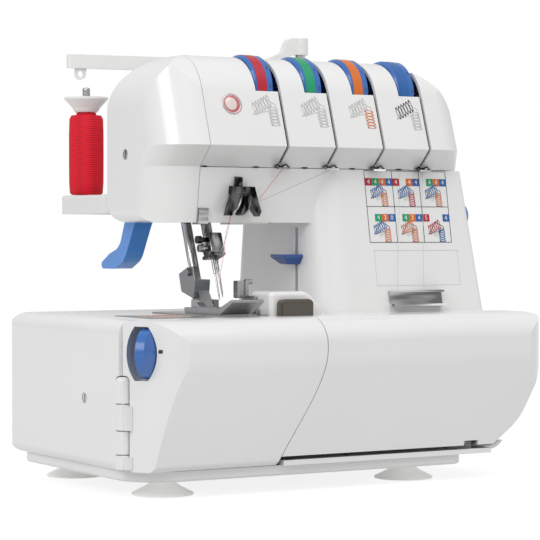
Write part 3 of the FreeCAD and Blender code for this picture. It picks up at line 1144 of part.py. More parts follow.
def guide_bar():
    """One-sided bar on the mast with a swan neck and four thread eyes."""
    strip = [(26.0, -4.0, 0.0), (BAR_LENGTH, -3.0, 2.0), (BAR_LENGTH, 3.0, 2.0), (26.0, 4.0, 0.0)]
    face = Part.Face(outline(strip, lambda a, b: V(-a, -b, BAR_Z)))
    bar = face.extrude(V(0, 0, BAR_TOP - BAR_Z))
    hub = soften(rod_z(0.0, 0.0, NECK_Z, NECK_TOP, 5.4), 1.0, lambda p: p.z > NECK_TOP - 0.1)
    neck = front_prism([(0.0, NECK_Z, 0.0), (0.0, NECK_TOP - 0.6, 0.0), (-10.5, NECK_TOP - 0.8, 4.0),
                        (-14.5, BAR_TOP + 6.0, 5.0), (-28.0, BAR_TOP, 8.0), (-40.0, BAR_TOP, 0.0),
                        (-40.0, BAR_Z, 0.0),
                        (-28.0, BAR_Z, 8.0), (-14.0, BAR_TOP + 1.0, 4.0), (-6.0, NECK_Z, 3.0)], -4.4, 4.4)
    hooks = []
    for x in SPOOL_X:
        s = (MAST_X - x) / math.cos(BAR_SWING)
        hook = front_prism([(-s - 3.7, BAR_Z + 2.0, 0.0), (-s + 3.7, BAR_Z + 2.0, 0.0),
                            (-s + 3.7, EYE_Z - 3.8, 3.6),
                            (-s - 3.7, EYE_Z - 3.8, 3.6)], -1.2, 2.0)
        hooks.append(hook.cut(rod(V(-s, -5.0, EYE_Z), V(-s, 5.0, EYE_Z), 2.2)))
    whole = union([bar, hub, neck] + hooks)
    whole = whole.cut(rod_z(0.0, 0.0, 200.0, BORE_TOP, MAST_R))
    whole.Placement = FreeCAD.Placement(V(MAST_X, MAST_Y, 0.0),
                                        FreeCAD.Rotation(V(0, 0, 1), -math.degrees(BAR_SWING)))
    return whole


def column_front(z):
    """Y of the column's front face at height z."""
    return COL_FRONT_LOW + (COL_FRONT_HIGH - COL_FRONT_LOW) * (z - BED_TOP) / (PANEL_BOTTOM - BED_TOP)


def looper_guide():
    """Bent steel thread guide at the foot of the column."""
    y0 = column_front(112.0)
    y1 = column_front(121.7)
    strip = side_prism([(y0, 112.0, 0.0), (y1, 121.7, 0.0), (y1 - 5.0, 122.2, 0.0), (y1 - 5.2, 120.9, 0.0),
                        (y1 - 1.6, 120.5, 0.0), (y0 - 1.4, 113.6, 0.0), (y0 - 6.0, 113.4, 0.0),
                        (y0 - 6.0, 112.0, 0.0)], 53.5, 94.5)
    return strip


def arm_front(z):
    """Y of the arm's lower front face at height z."""
    return -41.5 + (COL_FRONT_HIGH + 41.5) * (z - ARM_BOTTOM) / (PANEL_BOTTOM - ARM_BOTTOM)


CLAW_LEFT = [(-56.5, 188.0), (-52.0, 188.0), (-51.8, 181.0), (-54.6, 175.0), (-60.0, 170.2), (-61.8, 170.4),
             (-60.0, 177.0), (-57.6, 183.0)]
CLAW_MIDDLE = [(-52.4, 188.0), (-45.6, 188.0), (-45.6, 181.0), (-47.6, 175.0), (-52.0, 170.2), (-53.6, 170.8),
               (-51.2, 176.0), (-50.8, 181.0)]
CLAW_RIGHT = [(-46.6, 188.0), (-43.0, 188.0), (-40.6, 180.0), (-38.2, 173.0), (-39.8, 169.8), (-42.4, 173.4),
              (-45.0, 180.0)]
CLAW_REACH = 9.0


def needle_guide():
    """Black needle thread guide on the arm's front: a block with three curved claws."""
    top = arm_front(189.0)
    block = side_prism([(arm_front(184.0), 184.0, 0.0), (arm_front(189.0), 189.0, 0.0),
                        (top - CLAW_REACH, 188.4, 1.5),
                        (top - CLAW_REACH, 184.0, 1.0)], -57.0, -43.0)
    claws = [front_prism(claw, top - CLAW_REACH + 0.4, top - 1.6) for claw in (CLAW_LEFT, CLAW_MIDDLE,
                                                                               CLAW_RIGHT)]
    post = side_prism([(arm_front(188.0), 188.0, 0.0), (arm_front(195.0), 195.0, 0.0),
                       (arm_front(195.0) - 3.6, 194.4, 1.0),
                       (arm_front(188.0) - 3.6, 188.0, 0.0)], -53.5, -49.3)
    return union([block, post] + claws)


def face_guide():
    """Small chrome guide folded round the arm's lower front edge."""
    top = arm_front(175.0)
    low = arm_front(ARM_BOTTOM)
    return side_prism([(top, 175.0, 0.0), (top - 1.2, 175.0, 0.0), (low - 1.2, ARM_BOTTOM - 1.2, 0.8),
                       (-35.0, ARM_BOTTOM - 1.2, 0.0), (-35.0, ARM_BOTTOM, 0.0), (low, ARM_BOTTOM, 0.0)],
                       -78.0, -71.0)


def slot_hooks():
    """Steel hooks at the foot of each thread slot."""
    hooks = []
    for x in TENSION_X:
        slot = x + SLOT_DX
        plate = side_prism([(COL_FRONT_HIGH - 0.6, PANEL_BOTTOM + 0.6, 0.0),
                            (COL_FRONT_HIGH - 8.0, PANEL_BOTTOM - 1.4, 0.0),
                            (COL_FRONT_HIGH - 8.6, PANEL_BOTTOM - 0.2, 0.0)], slot - 4.5, slot + 4.5)
        hooks.append(plate.cut(HEAD_SHELL))
    return hooks


def housing_screws():
    """Screws that hold the side and end mouldings."""
    spots = [(LEFT, SIDE_SCREW_Y, SIDE_SCREW_Z), (HEAD_LEFT, FACE_SCREW_Y, FACE_SCREW_Z)]
    screws = []
    for x, y, z in spots:
        screw = rod_x(x + 0.3, x + 1.6, y, z, SCREW_HEAD_R).fuse(rod_x(x + 1.6, x + 6.0, y, z, SCREW_R))
        screws.append(screw.cut(box(x, x + 1.0, y - 0.5, y + 0.5, z - 2.6, z + 2.6)))
    return screws


def hinge_pin():
    """Steel pin through the side cover's knuckles."""
    return rod_z(HINGE_X, HINGE_Y, 19.2, HINGE_TOP - 2.0, PIN_R)


def cover_rod():
    """Rod on which the looper cover slides and folds."""
    return rod_x(-28.0, 82.0, COVER_ROD_Y, COVER_ROD_Z, COVER_ROD_R - 0.05)


def sewing_lamp():
    """Lamp strip under the arm."""
    lamp = box(-48.0, -20.0, -30.0, -18.0, ARM_BOTTOM - 1.2, ARM_BOTTOM)
    return soften(lamp, 0.5, lambda p: p.z < ARM_BOTTOM - 1.1)


NODES = {
    "suction_feet": Part.makeCompound([suction_foot(x, y) for x in FOOT_X for y in FOOT_Y]),
    "base_plate": base_plate(),
    "chassis": chassis(),
    "bed_shell": bed_shell(),
    "body_cover": body_cover(),
    "tension_panel": tension_panel(),
    "rear_cover": rear_cover(),
    "face_cover": face_cover(),
    "side_cover": side_cover(),
    "cloth_plate": cloth_plate(),
    "width_dial": width_dial(),
    "cover_rod": cover_rod(),
    "looper_cover": looper_cover(),
    "tension_shaft": Part.makeCompound([tension_shaft()] + tension_discs()),
    "wheel_shaft": wheel_shaft(),
    "handwheel": handwheel(),
    "lower_shaft": lower_shaft(),
    "motor": motor(),
    "motor_pulley": motor_pulley(),
    "drive_belts": drive_belts(),
    "needle_bar": needle_bar(),
    "needle_clamp": needle_clamp(),
    "needles": needles(),
    "needle_lever": needle_lever(),
    "presser_bar": presser_bar(),
    "presser_ankle": presser_ankle(),
    "presser_foot": presser_foot(),
    "presser_lifter": presser_lifter(),
    "needle_plate": needle_plate(),
    "feed_dogs": feed_dogs(),
    "lower_looper": low_looper(),
    "upper_looper": up_looper(),
    "upper_knife": upper_knife(),
    "lower_knife": lower_knife(),
    "hump_cover": hump_cover(),
    "chip_guard": chip_guard(),
    "knife_release": knife_release(),
    "stitch_dial": stitch_dial(),
    "differential_lever": differential_lever(),
    "power_inlet": power_inlet(),
    "power_switch": power_switch(),
    "spool_stand": spool_stand(),
    "spool_pins": spool_pins(),
    "spool_caps": spool_caps(),
    "mast_tube": mast_tube(),
    "mast_middle": mast_middle(),
    "mast_rod": mast_rod(),
    "guide_bar": guide_bar(),
    "thread_guides": Part.makeCompound([looper_guide(), face_guide()] + slot_hooks()),
    "needle_guide": needle_guide(),
    "fasteners": Part.makeCompound([hinge_pin()] + housing_screws() + inlet_pins()),
    "sewing_lamp": sewing_lamp(),
}

for number, dial_x in enumerate(TENSION_X, 1):
    NODES["tension_dial_%d" % number] = tension_dial(dial_x)
for number, spool_x in enumerate(SPOOL_X, 1):
    NODES["thread_spool_%d" % number] = thread_spool(spool_x)

os.makedirs("parts", exist_ok=True)
for name, shape in NODES.items():
    shape.exportStep("parts/%s.step" % name)
    print(name, "solids", len(shape.Solids), "valid", shape.isValid(), "volume", round(shape.Volume, 1))
whole = Part.makeCompound(list(NODES.values())).BoundBox
print("nodes", len(NODES), "box", [round(v, 3) for v in (whole.XMin, whole.XMax, whole.YMin, whole.YMax,
                                                           whole.ZMin, whole.ZMax)])
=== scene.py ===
# %% [markdown]
# A four-thread overlock machine, dressed.
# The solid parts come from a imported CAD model. They already have the right size and place,
# so this lesson gives them real finishes and adds the small things that a maker prints,
# winds or threads by hand: dial bands, picture labels, wound spools and the threads themselves.

# %% Load the frame
import math

import bpy
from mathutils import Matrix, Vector


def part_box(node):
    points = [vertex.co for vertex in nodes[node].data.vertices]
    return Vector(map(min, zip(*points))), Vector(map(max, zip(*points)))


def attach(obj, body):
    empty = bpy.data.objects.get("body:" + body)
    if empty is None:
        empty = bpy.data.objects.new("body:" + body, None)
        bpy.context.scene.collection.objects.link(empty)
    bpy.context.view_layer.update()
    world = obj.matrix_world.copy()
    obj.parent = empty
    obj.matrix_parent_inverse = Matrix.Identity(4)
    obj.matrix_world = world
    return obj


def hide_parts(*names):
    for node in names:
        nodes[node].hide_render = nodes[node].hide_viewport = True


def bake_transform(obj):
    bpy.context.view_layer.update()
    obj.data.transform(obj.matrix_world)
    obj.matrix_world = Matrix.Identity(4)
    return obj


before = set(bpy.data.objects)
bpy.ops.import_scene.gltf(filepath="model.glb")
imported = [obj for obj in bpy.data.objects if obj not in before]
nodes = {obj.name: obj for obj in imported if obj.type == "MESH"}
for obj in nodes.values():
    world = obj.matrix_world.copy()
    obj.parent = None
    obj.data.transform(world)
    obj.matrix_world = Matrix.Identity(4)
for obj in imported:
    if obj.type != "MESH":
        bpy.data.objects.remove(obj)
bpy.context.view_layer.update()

# %% [markdown]
# First a few helpers. Operators act on whatever is selected, so each new piece starts from a clear
# selection. A finished piece keeps its place in its mesh: its object sits at the origin, like a CAD node.
# What repeats is modelled once, at the origin, and then copied and placed.

# %% Selection and finishing helpers
MM = 0.001


def clear_selection():
    """Leave edit mode and deselect everything."""
    if bpy.context.object and bpy.context.object.mode != "OBJECT":
        bpy.ops.object.mode_set(mode="OBJECT")
    bpy.ops.object.select_all(action="DESELECT")


def only(obj):
    """Make one object the selected and active one."""
    clear_selection()
    obj.select_set(True)
    bpy.context.view_layer.objects.active = obj


def apply_place():
    """Write the active object's place, turn and scale into its mesh."""
    bpy.ops.object.transform_apply(location=True, rotation=True, scale=True)


def edit_all():
    """Enter edit mode with the whole mesh selected."""
    bpy.ops.object.mode_set(mode="EDIT")
    bpy.ops.mesh.select_all(action="SELECT")


def face_outwards():
    """Turn all faces of the mesh outwards and leave edit mode."""
    bpy.ops.mesh.select_all(action="SELECT")
    bpy.ops.mesh.normals_make_consistent(inside=False)
    bpy.ops.object.mode_set(mode="OBJECT")


def smooth_below(degrees):
    """Shade smooth, and keep edges sharper than this angle."""
    bpy.ops.object.shade_smooth_by_angle(angle=math.radians(degrees))


def settle(obj, name, body, finish):
    """Apply the object's place to its mesh, name it, paint it and let it ride on a body, if it has one."""
    only(obj)
    apply_place()
    obj.name = name
    obj.data.name = name
    obj.data.materials.clear()
    obj.data.materials.append(finish)
    if body is not None:
        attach(obj, body)
    return obj


def join(parts):
    """Join mesh objects into the first one."""
    clear_selection()
    for part in parts:
        part.select_set(True)
    bpy.context.view_layer.objects.active = parts[0]
    bpy.ops.object.join()
    return parts[0]


def copies_of(obj, count):
    """The object and further copies of it, each with its own mesh."""
    copies = [obj]
    while len(copies) < count:
        only(obj)
        bpy.ops.object.duplicate(linked=False)
        copies.append(bpy.context.object)
    return copies


print("helpers ready")

# %% [markdown]
# Moulded plastic is never one flat colour. A slow noise shifts its tone by a hair, a second one
# changes the gloss, and a very fine bump gives the skin that a polished mould leaves.

# %% Finish builder for moulded and painted surfaces
TONE_NOISE = {"scale": 14.0, "detail": 3.0}
GLOSS_NOISE = {"scale": 60.0, "detail": 4.0}
GLOSS_SPREAD = 0.15
SKIN_DETAIL = 2.0
SKIN_DEPTH = 0.0002
COAT_ROUGH = 0.08


def new_finish(name):
    """Empty node material: returns the material, its tree, its shader and its coordinates."""
    mat = bpy.data.materials.new(name)
    mat.use_nodes = True
    tree = mat.node_tree
    shader = tree.nodes["Principled BSDF"]
    coords = tree.nodes.new("ShaderNodeTexCoord")
    return mat, tree, shader, coords


def adjust(mat, **sockets):
    """Set further sockets of a finish, with underscores for the spaces in their names."""
    shader = mat.node_tree.nodes["Principled BSDF"]
    for socket, value in sockets.items():
        shader.inputs[socket.replace("_", " ")].default_value = value


def noise_of(tree, coords, scale, detail, stretch=None):
    """Noise on the piece's own coordinates, drawn out along an axis where a stretch is given."""
    source = coords.outputs["Object"]
    if stretch is not None:
        place = tree.nodes.new("ShaderNodeMapping")
        place.inputs["Scale"].default_value = stretch
        tree.links.new(source, place.inputs["Vector"])
        source = place.outputs["Vector"]
    noise = tree.nodes.new("ShaderNodeTexNoise")
    noise.inputs["Scale"].default_value = scale
    noise.inputs["Detail"].default_value = detail
    tree.links.new(source, noise.inputs["Vector"])
    return noise.outputs["Fac"]


def ramp_of(tree, source, low, high, start=0.3, end=0.7):
    """Colour ramp from one value to another."""
    ramp = tree.nodes.new("ShaderNodeValToRGB")
    ramp.color_ramp.elements[0].position = start
    ramp.color_ramp.elements[1].position = end
    ramp.color_ramp.elements[0].color = low
    ramp.color_ramp.elements[1].color = high
    tree.links.new(source, ramp.inputs["Fac"])
    return ramp.outputs["Color"]


def grey(value):
    """Grey as a colour with full alpha."""
    return (value, value, value, 1.0)


def tinted(colour, factor):
    """Colour made lighter or darker, with full alpha."""
    return tuple(min(1.0, c * factor) for c in colour) + (1.0,)


def rough_of(tree, shader, source, rough, spread):
    """Roughness that wavers round a middle value."""
    level = ramp_of(tree, source, grey(rough * (1.0 - spread)), grey(rough * (1.0 + spread)))
    tree.links.new(level, shader.inputs["Roughness"])


def bump_of(tree, shader, height, strength, distance):
    """Bump from a height into the shader's normal."""
    bump = tree.nodes.new("ShaderNodeBump")
    bump.inputs["Strength"].default_value = strength
    bump.inputs["Distance"].default_value = distance
    tree.links.new(height, bump.inputs["Height"])
    tree.links.new(bump.outputs["Normal"], shader.inputs["Normal"])


def moulded(name, colour, shift, rough, coat=0.0, bump=0.05, grain=900.0, metal=0.0):
    """Moulded or painted surface with a little change of tone, gloss and skin."""
    mat, tree, shader, coords = new_finish(name)
    tone = noise_of(tree, coords, **TONE_NOISE)
    shade = ramp_of(tree, tone, tinted(colour, 1.0 - shift), tinted(colour, 1.0 + shift))
    tree.links.new(shade, shader.inputs["Base Color"])
    rough_of(tree, shader, noise_of(tree, coords, **GLOSS_NOISE), rough, GLOSS_SPREAD)
    bump_of(tree, shader, noise_of(tree, coords, grain, SKIN_DETAIL), bump, SKIN_DEPTH)
    adjust(mat, Coat_Weight=coat, Coat_Roughness=COAT_ROUGH, Metallic=metal)
    return mat


print("finish builder ready")

# %% [markdown]
# The shell is glossy white plastic with a clear, hard shine. The blue grips are the same plastic in four
# blues. White is kept below full white, so that the light can still draw the curves. The suction feet are
# milky, and a faint painted glow of their own stands in for the light that comes through them from the floor.

# %% Plastic finishes
FEET_PAINTED_GLOW = 0.24


def blue_plastic(name, colour):
    """Glossy coloured plastic of the grips."""
    return moulded(name, colour, 0.06, 0.24, coat=0.3, bump=0.04)


white_shell = moulded("white_shell", (0.80, 0.80, 0.795), 0.012, 0.22, coat=0.35, bump=0.03)
white_satin = moulded("white_satin", (0.84, 0.84, 0.83), 0.02, 0.38, coat=0.1, bump=0.06)
milky_rubber_painted_glow = moulded("milky_rubber_painted_glow", (0.86, 0.86, 0.84), 0.02, 0.45, bump=0.08, grain=500.0)
# Painted glow: the feet emit a little light of their own, in place of light coming through them from the
# floor.
adjust(milky_rubber_painted_glow, Emission_Color=(1.0, 1.0, 0.97, 1.0), Emission_Strength=FEET_PAINTED_GLOW)
blue_grip = blue_plastic("blue_grip", (0.045, 0.195, 0.600))
# The lifter's blue is a lit copy of the grip blue, painted lighter because the lifter sits on the shaded
# side.
lit_lifter_blue = blue_plastic("lit_lifter_blue", (0.065, 0.260, 0.700))
deep_blue = blue_plastic("deep_blue", (0.014, 0.070, 0.290))
dial_blue = blue_plastic("dial_blue", (0.030, 0.135, 0.440))
black_moulding = moulded("black_moulding", (0.010, 0.010, 0.011), 0.2, 0.35, bump=0.08)
adjust(black_moulding, Specular_IOR_Level=0.25)
belt_rubber = moulded("belt_rubber", (0.02, 0.02, 0.02), 0.2, 0.7, bump=0.3, grain=300.0)
motor_paint = moulded("motor_paint", (0.11, 0.11, 0.12), 0.05, 0.4, bump=0.1)
print("plastic finishes ready, milky glow", FEET_PAINTED_GLOW)

# %% [markdown]
# The steel parts are bright plated or ground. Ground steel has fine lines that run one way, so its noise
# is stretched along one axis. Plating mirrors light and dark corners of a workshop; in an all white room it
# would look dull, so a coarse noise paints those light and dark reflections into the plating itself.

# %% Metal finishes
METAL_SPREAD = 0.3
LINE_NOISE = {"scale": 4.0, "detail": 6.0}
LINE_LENGTH = 6.0
LINE_TONES = (0.9, 1.06)
LINE_DEPTH = 0.0001
REFLECTION_NOISE = {"scale": 170.0, "detail": 1.0}
REFLECTION_EDGES = (0.42, 0.6)


def ground_metal(name, colour, rough, lines, bump):
    """Metal with fine lines along X."""
    mat, tree, shader, coords = new_finish(name)
    grain = noise_of(tree, coords, **LINE_NOISE, stretch=(LINE_LENGTH, lines, lines))
    shade = ramp_of(tree, grain, *[tinted(colour, tone) for tone in LINE_TONES])
    tree.links.new(shade, shader.inputs["Base Color"])
    rough_of(tree, shader, grain, rough, METAL_SPREAD)
    bump_of(tree, shader, grain, bump, LINE_DEPTH)
    adjust(mat, Metallic=1.0)
    return mat


def mirror_metal(name, dark, light, stretch, rough=0.14):
    """Plated metal with painted reflections, light and dark, drawn out along one axis."""
    mat, tree, shader, coords = new_finish(name)
    painted_reflections = noise_of(tree, coords, **REFLECTION_NOISE, stretch=stretch)
    shade = ramp_of(tree, painted_reflections, grey(dark), grey(light), *REFLECTION_EDGES)
    tree.links.new(shade, shader.inputs["Base Color"])
    rough_of(tree, shader, noise_of(tree, coords, **GLOSS_NOISE), rough, METAL_SPREAD)
    adjust(mat, Metallic=1.0)
    return mat


plated_steel = mirror_metal("plated_steel", 0.04, 0.50, (1.0, 1.0, 0.35))
plated_rod = mirror_metal("plated_rod", 0.20, 0.66, (1.0, 1.0, 0.02))
plated_strip = mirror_metal("plated_strip", 0.20, 0.78, (0.12, 1.0, 1.0))
black_chrome = mirror_metal("black_chrome", 0.006, 0.16, (1.0, 1.0, 0.5))
satin_steel = ground_metal("satin_steel", (0.27, 0.275, 0.28), 0.38, 200.0, 0.08)
ground_steel = ground_metal("ground_steel", (0.40, 0.40, 0.41), 0.3, 400.0, 0.15)
cast_metal = moulded("cast_metal", (0.42, 0.43, 0.44), 0.08, 0.5, bump=0.35, grain=350.0, metal=0.8)
print("metal finishes ready, streaks", REFLECTION_NOISE)

# %% [markdown]
# The chip guard is a smoked clear plastic. Transmission lets the room through, and a brown grey tint
# darkens it where the wall is thick. The lamp cover is milky.

# %% Clear finishes
smoked_guard = moulded("smoked_guard", (0.115, 0.098, 0.076), 0.05, 0.15, coat=0.2, bump=0.03)
adjust(smoked_guard, Transmission_Weight=0.35, IOR=1.45)
lamp_cover = moulded("lamp_cover", (0.85, 0.84, 0.78), 0.02, 0.35, bump=0.04)
print("clear finishes", smoked_guard.name, lamp_cover.name)

# %% [markdown]
# Each CAD node gets its finish by name. Its mesh already points the right way and stays as it is:
# only the shading is set smooth, so that each curved CAD face shades as a curve.

# %% Paint the CAD nodes
FINISHES = {
    white_shell: ("bed_shell", "body_cover", "tension_panel", "rear_cover", "face_cover", "side_cover",
                  "looper_cover", "hump_cover", "spool_stand", "base_plate"),
    white_satin: ("spool_caps", "guide_bar"),
    milky_rubber_painted_glow: ("suction_feet",),
    blue_grip: ("handwheel", "stitch_dial", "differential_lever"),
    lit_lifter_blue: ("presser_lifter",),
    deep_blue: ("knife_release",),
    dial_blue: ("width_dial", "tension_dial_1", "tension_dial_2", "tension_dial_3", "tension_dial_4"),
    plated_steel: ("needle_clamp", "fasteners"),
    plated_rod: ("needle_bar", "needles", "presser_bar", "spool_pins", "mast_tube", "mast_middle",
                 "mast_rod"),
    plated_strip: ("thread_guides",),
    black_chrome: ("needle_guide",),
    satin_steel: ("presser_ankle",),
    ground_steel: ("presser_foot", "needle_plate", "cloth_plate", "cover_rod", "wheel_shaft", "lower_shaft",
                   "tension_shaft", "needle_lever", "lower_looper", "upper_looper", "upper_knife",
                   "lower_knife", "feed_dogs", "motor_pulley"),
    cast_metal: ("chassis",),
    motor_paint: ("motor",),
    belt_rubber: ("drive_belts",),
    black_moulding: ("power_inlet", "power_switch"),
    smoked_guard: ("chip_guard",),
    lamp_cover: ("sewing_lamp",),
}
painted = 0
for finish, names in FINISHES.items():
    for name in names:
        node = nodes[name]
        node.data.materials.clear()
        node.data.materials.append(finish)
        for face in node.data.polygons:
            face.use_smooth = True
        painted += 1
print("painted nodes", painted)

# %% [markdown]
# Printing ink is a thin, slightly glossy film. The four thread colours are red, green, orange and blue,
# and they come back on the dials, the table of settings and the small pictures. All inks are the same
# finish in other colours, so one table holds their colour, change of tone and roughness.

# %% Inks
INK_SKIN = 0.02
INK_COLOURS = {
    "red": ((0.46, 0.010, 0.030), 0.05, 0.35),
    "green": ((0.004, 0.31, 0.14), 0.05, 0.35),
    "orange": ((0.66, 0.15, 0.012), 0.05, 0.35),
    "blue": ((0.016, 0.115, 0.38), 0.05, 0.35),
    "grey": ((0.50, 0.50, 0.50), 0.05, 0.4),
    "pale": ((0.62, 0.62, 0.62), 0.04, 0.4),
    "black": ((0.025, 0.025, 0.028), 0.1, 0.4),
    "white": ((0.80, 0.80, 0.80), 0.03, 0.35),
}
INKS = {}
for ink, (colour, shift, rough) in INK_COLOURS.items():
    INKS[ink] = moulded("ink_" + ink, colour, shift, rough, bump=INK_SKIN)
print("inks", len(INKS))

# %% [markdown]
# Flat printed marks are thin tiles. A tile starts as a plane, its corners are rounded in edit mode and it is
# extruded by about a tenth of a millimetre, so it lies on the surface like ink and never flickers with it.
# Each mark is drawn flat on the ground first and then leaned against the sloping face that carries it.
# A face is given by two of its points, as Y and Z at its foot and Y and Z at its top.

# %% Drawing helpers for printed marks
INK = 0.12 * MM
INK_LIFT = 0.02
FIGURE_LIFT = 0.7 * INK
FIGURE_HALF = 0.5 * INK
HAIR_LINE = 0.25
LINE_ROUNDING = 0.4
PANEL_FACE = (-60.0, 214.0, -41.1, 272.0)
COLUMN_FACE = (-62.0, 108.0, -46.5, 201.0)


def tile(width, height, x, y, corner=0.0, thick=INK):
    """Thin tile in millimetres, drawn flat on the ground."""
    clear_selection()
    bpy.ops.mesh.primitive_plane_add(size=1.0, location=(x * MM, y * MM, 0.0))
    obj = bpy.context.object
    obj.scale = (width * MM, height * MM, 1.0)
    apply_place()
    edit_all()
    if corner > 0.0:
        bpy.ops.mesh.bevel(offset=corner * MM, segments=3, affect="VERTICES")
        bpy.ops.mesh.select_all(action="SELECT")
    bpy.ops.mesh.extrude_region_move(TRANSFORM_OT_translate={"value": (0.0, 0.0, thick)})
    face_outwards()
    return obj


def stroke(x0, y0, x1, y1, width=HAIR_LINE):
    """Thin printed line with rounded ends, between two points on the ground."""
    length = math.hypot(x1 - x0, y1 - y0)
    obj = tile(length, width, 0.0, 0.0, corner=width * LINE_ROUNDING)
    obj.rotation_euler = (0.0, 0.0, math.atan2(y1 - y0, x1 - x0))
    obj.location = ((x0 + x1) / 2.0 * MM, (y0 + y1) / 2.0 * MM, 0.0)
    apply_place()
    return obj


def figure(text, size, x, y):
    """Printed numeral, drawn flat on the ground and turned into a mesh."""
    clear_selection()
    bpy.ops.object.text_add(location=(x * MM, y * MM, FIGURE_LIFT))
    obj = bpy.context.object
    obj.data.body = text
    obj.data.size = size * MM
    obj.data.extrude = FIGURE_HALF
    obj.data.align_x = "CENTER"
    obj.data.align_y = "CENTER"
    obj.data.resolution_u = 3
    bpy.ops.object.convert(target="MESH")
    apply_place()
    return bpy.context.object


def lean(obj, face, x, z, lift=INK_LIFT):
    """Lean a flat drawing against a sloping face, its origin at that height of the face."""
    y0, z0, y1, z1 = face
    angle = math.atan2(z1 - z0, y1 - y0)
    y = y0 + (z - z0) / math.tan(angle)
    normal = Vector((0.0, -math.sin(angle), math.cos(angle)))
    obj.rotation_euler = (angle, 0.0, 0.0)
    obj.location = (Vector((x, y, z)) + normal * lift) * MM
    return obj


def outline_of(corners, width=HAIR_LINE):
    """Strokes from corner to corner."""
    return [stroke(*start, *end, width) for start, end in zip(corners, corners[1:])]


def printed(drawing, face, x, z, name, ink, lift=INK_LIFT):
    """Print a flat drawing on a sloping face of the housing."""
    settle(lean(drawing, face, x, z, lift), name, "frame", INKS[ink])


print("drawing helpers ready")

# %% [markdown]
# Each tension dial has a coloured band round its middle. The dial's own material could paint it, but a thin
# ring keeps a sharp edge and takes any ink. It is an open tube with a thin wall: a cylinder without ends,
# thickened by a Solidify modifier. The dials' places are read from the frame, so the bands follow the model.
# Round meshes have corners, which puts their boxes off by a few thousandths, so the places are rounded.

# %% Bands on the tension dials
def middle_of(node):
    """Middle of a CAD node's box, in millimetres."""
    low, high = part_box(node)
    return [round((a + b) / 2.0 / MM, 2) for a, b in zip(low, high)]


def half_of(node):
    """Half the size of a CAD node's box, in millimetres."""
    low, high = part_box(node)
    return [round((b - a) / 2.0 / MM, 2) for a, b in zip(low, high)]


DIAL_X = [middle_of("tension_dial_%d" % number)[0] for number in (1, 2, 3, 4)]
DIAL_Y, DIAL_Z = middle_of("tension_dial_1")[1:]
DIAL_R = half_of("tension_dial_1")[1]
BAND_W = 7.0
BAND_SHIFT = -1.4
BAND_LIFT = 0.02
BAND_WALL = 0.16
BAND_INKS = ("red", "green", "orange", "blue")


def dial_band():
    """Thin ring of a dial, round the X axis at the origin."""
    clear_selection()
    bpy.ops.mesh.primitive_cylinder_add(vertices=128, radius=(DIAL_R + BAND_LIFT) * MM, depth=BAND_W * MM,
                                        end_fill_type="NOTHING", location=(0.0, 0.0, 0.0),
                                        rotation=(0.0, math.pi / 2.0, 0.0))
    band = bpy.context.object
    wall = band.modifiers.new("wall", "SOLIDIFY")
    wall.thickness = BAND_WALL * MM
    wall.offset = 1.0
    bpy.ops.object.modifier_apply(modifier="wall")
    smooth_below(35.0)
    return band


bands = copies_of(dial_band(), len(DIAL_X))
for number, (band, x, ink) in enumerate(zip(bands, DIAL_X, BAND_INKS), start=1):
    band.location = Vector((x + BAND_SHIFT, DIAL_Y, DIAL_Z)) * MM
    settle(band, "dial_band_%d" % number, "dial_%d" % number, INKS[ink])
print("dial bands", len(bands), "at", DIAL_X)

# %% [markdown]
# Beside the band run the numerals nought to nine. Each one is typed as text, made a mesh, turned about the
# dial's axis and set on its rim, a hair below the surface, so that only the ink stands out. The ring of ten
# is made once and copied to the other dials.

# %% Numerals on the tension dials
NUMERALS = 10
NUMERAL_SIZE = 3.0
NUMERAL_SHIFT = 4.6
NUMERAL_START = 150.0
NUMERAL_STEP = 33.0
NUMERAL_SINK = 0.05


def numeral_ring(radius):
    """Numerals round the X axis at the origin."""
    marks = []
    for value in range(NUMERALS):
        mark = figure(str(value), NUMERAL_SIZE, 0.0, 0.0)
        turn = math.radians(NUMERAL_START - NUMERAL_STEP * value)
        mark.rotation_euler = (turn, 0.0, 0.0)
        mark.location = Vector((0.0, -math.sin(turn), math.cos(turn))) * radius * MM
        apply_place()
        marks.append(mark)
    return join(marks)


rings = copies_of(numeral_ring(DIAL_R - NUMERAL_SINK), len(DIAL_X))
for number, (ring, x) in enumerate(zip(rings, DIAL_X), start=1):
    ring.location = Vector((x + NUMERAL_SHIFT, DIAL_Y, DIAL_Z)) * MM
    settle(ring, "dial_numerals_%d" % number, "dial_%d" % number, INKS["black"])
print("numerals on each dial", NUMERALS)

# %% [markdown]
# A small picture of a seam shows a folded piece of cloth with thread loops over its upper edge and down its
# side. One loop is a ring, drawn out to an oval and turned, and a row of loops follows each edge. All places
# are given for a picture of scale one, round its own origin.

# %% Stitch pictures
LOOPS = 6
CLOTH_CORNERS = ((-6.6, -2.4), (-0.6, 5.4), (5.0, 2.4), (5.4, -7.0), (1.6, -7.0), (1.2, -0.4), (-6.6, -2.4))
EDGE_ROW = {"first": (-5.4, 0.4), "step": (1.45, 0.72), "length": 5.0, "width": 1.3, "turn": 0.28}
SIDE_ROW = {"first": (3.4, 0.6), "step": (0.06, -1.4), "length": 3.8, "width": 1.2, "turn": 1.5}


def shifted(drawing, x, y):
    """Move a flat drawing on the ground."""
    drawing.location = (x * MM, y * MM, 0.0)
    only(drawing)
    apply_place()
    return drawing


def thread_loop(length, turn, width, line):
    """One thread loop: a ring drawn out to an oval."""
    clear_selection()
    bpy.ops.mesh.primitive_torus_add(major_segments=20, minor_segments=6, major_radius=1.0,
                                     minor_radius=line / width)
    loop = bpy.context.object
    loop.scale = (width * MM / 2.0, length * MM / 2.0, INK)
    loop.rotation_euler = (0.0, 0.0, turn)
    loop.location = (0.0, 0.0, INK)
    apply_place()
    return loop


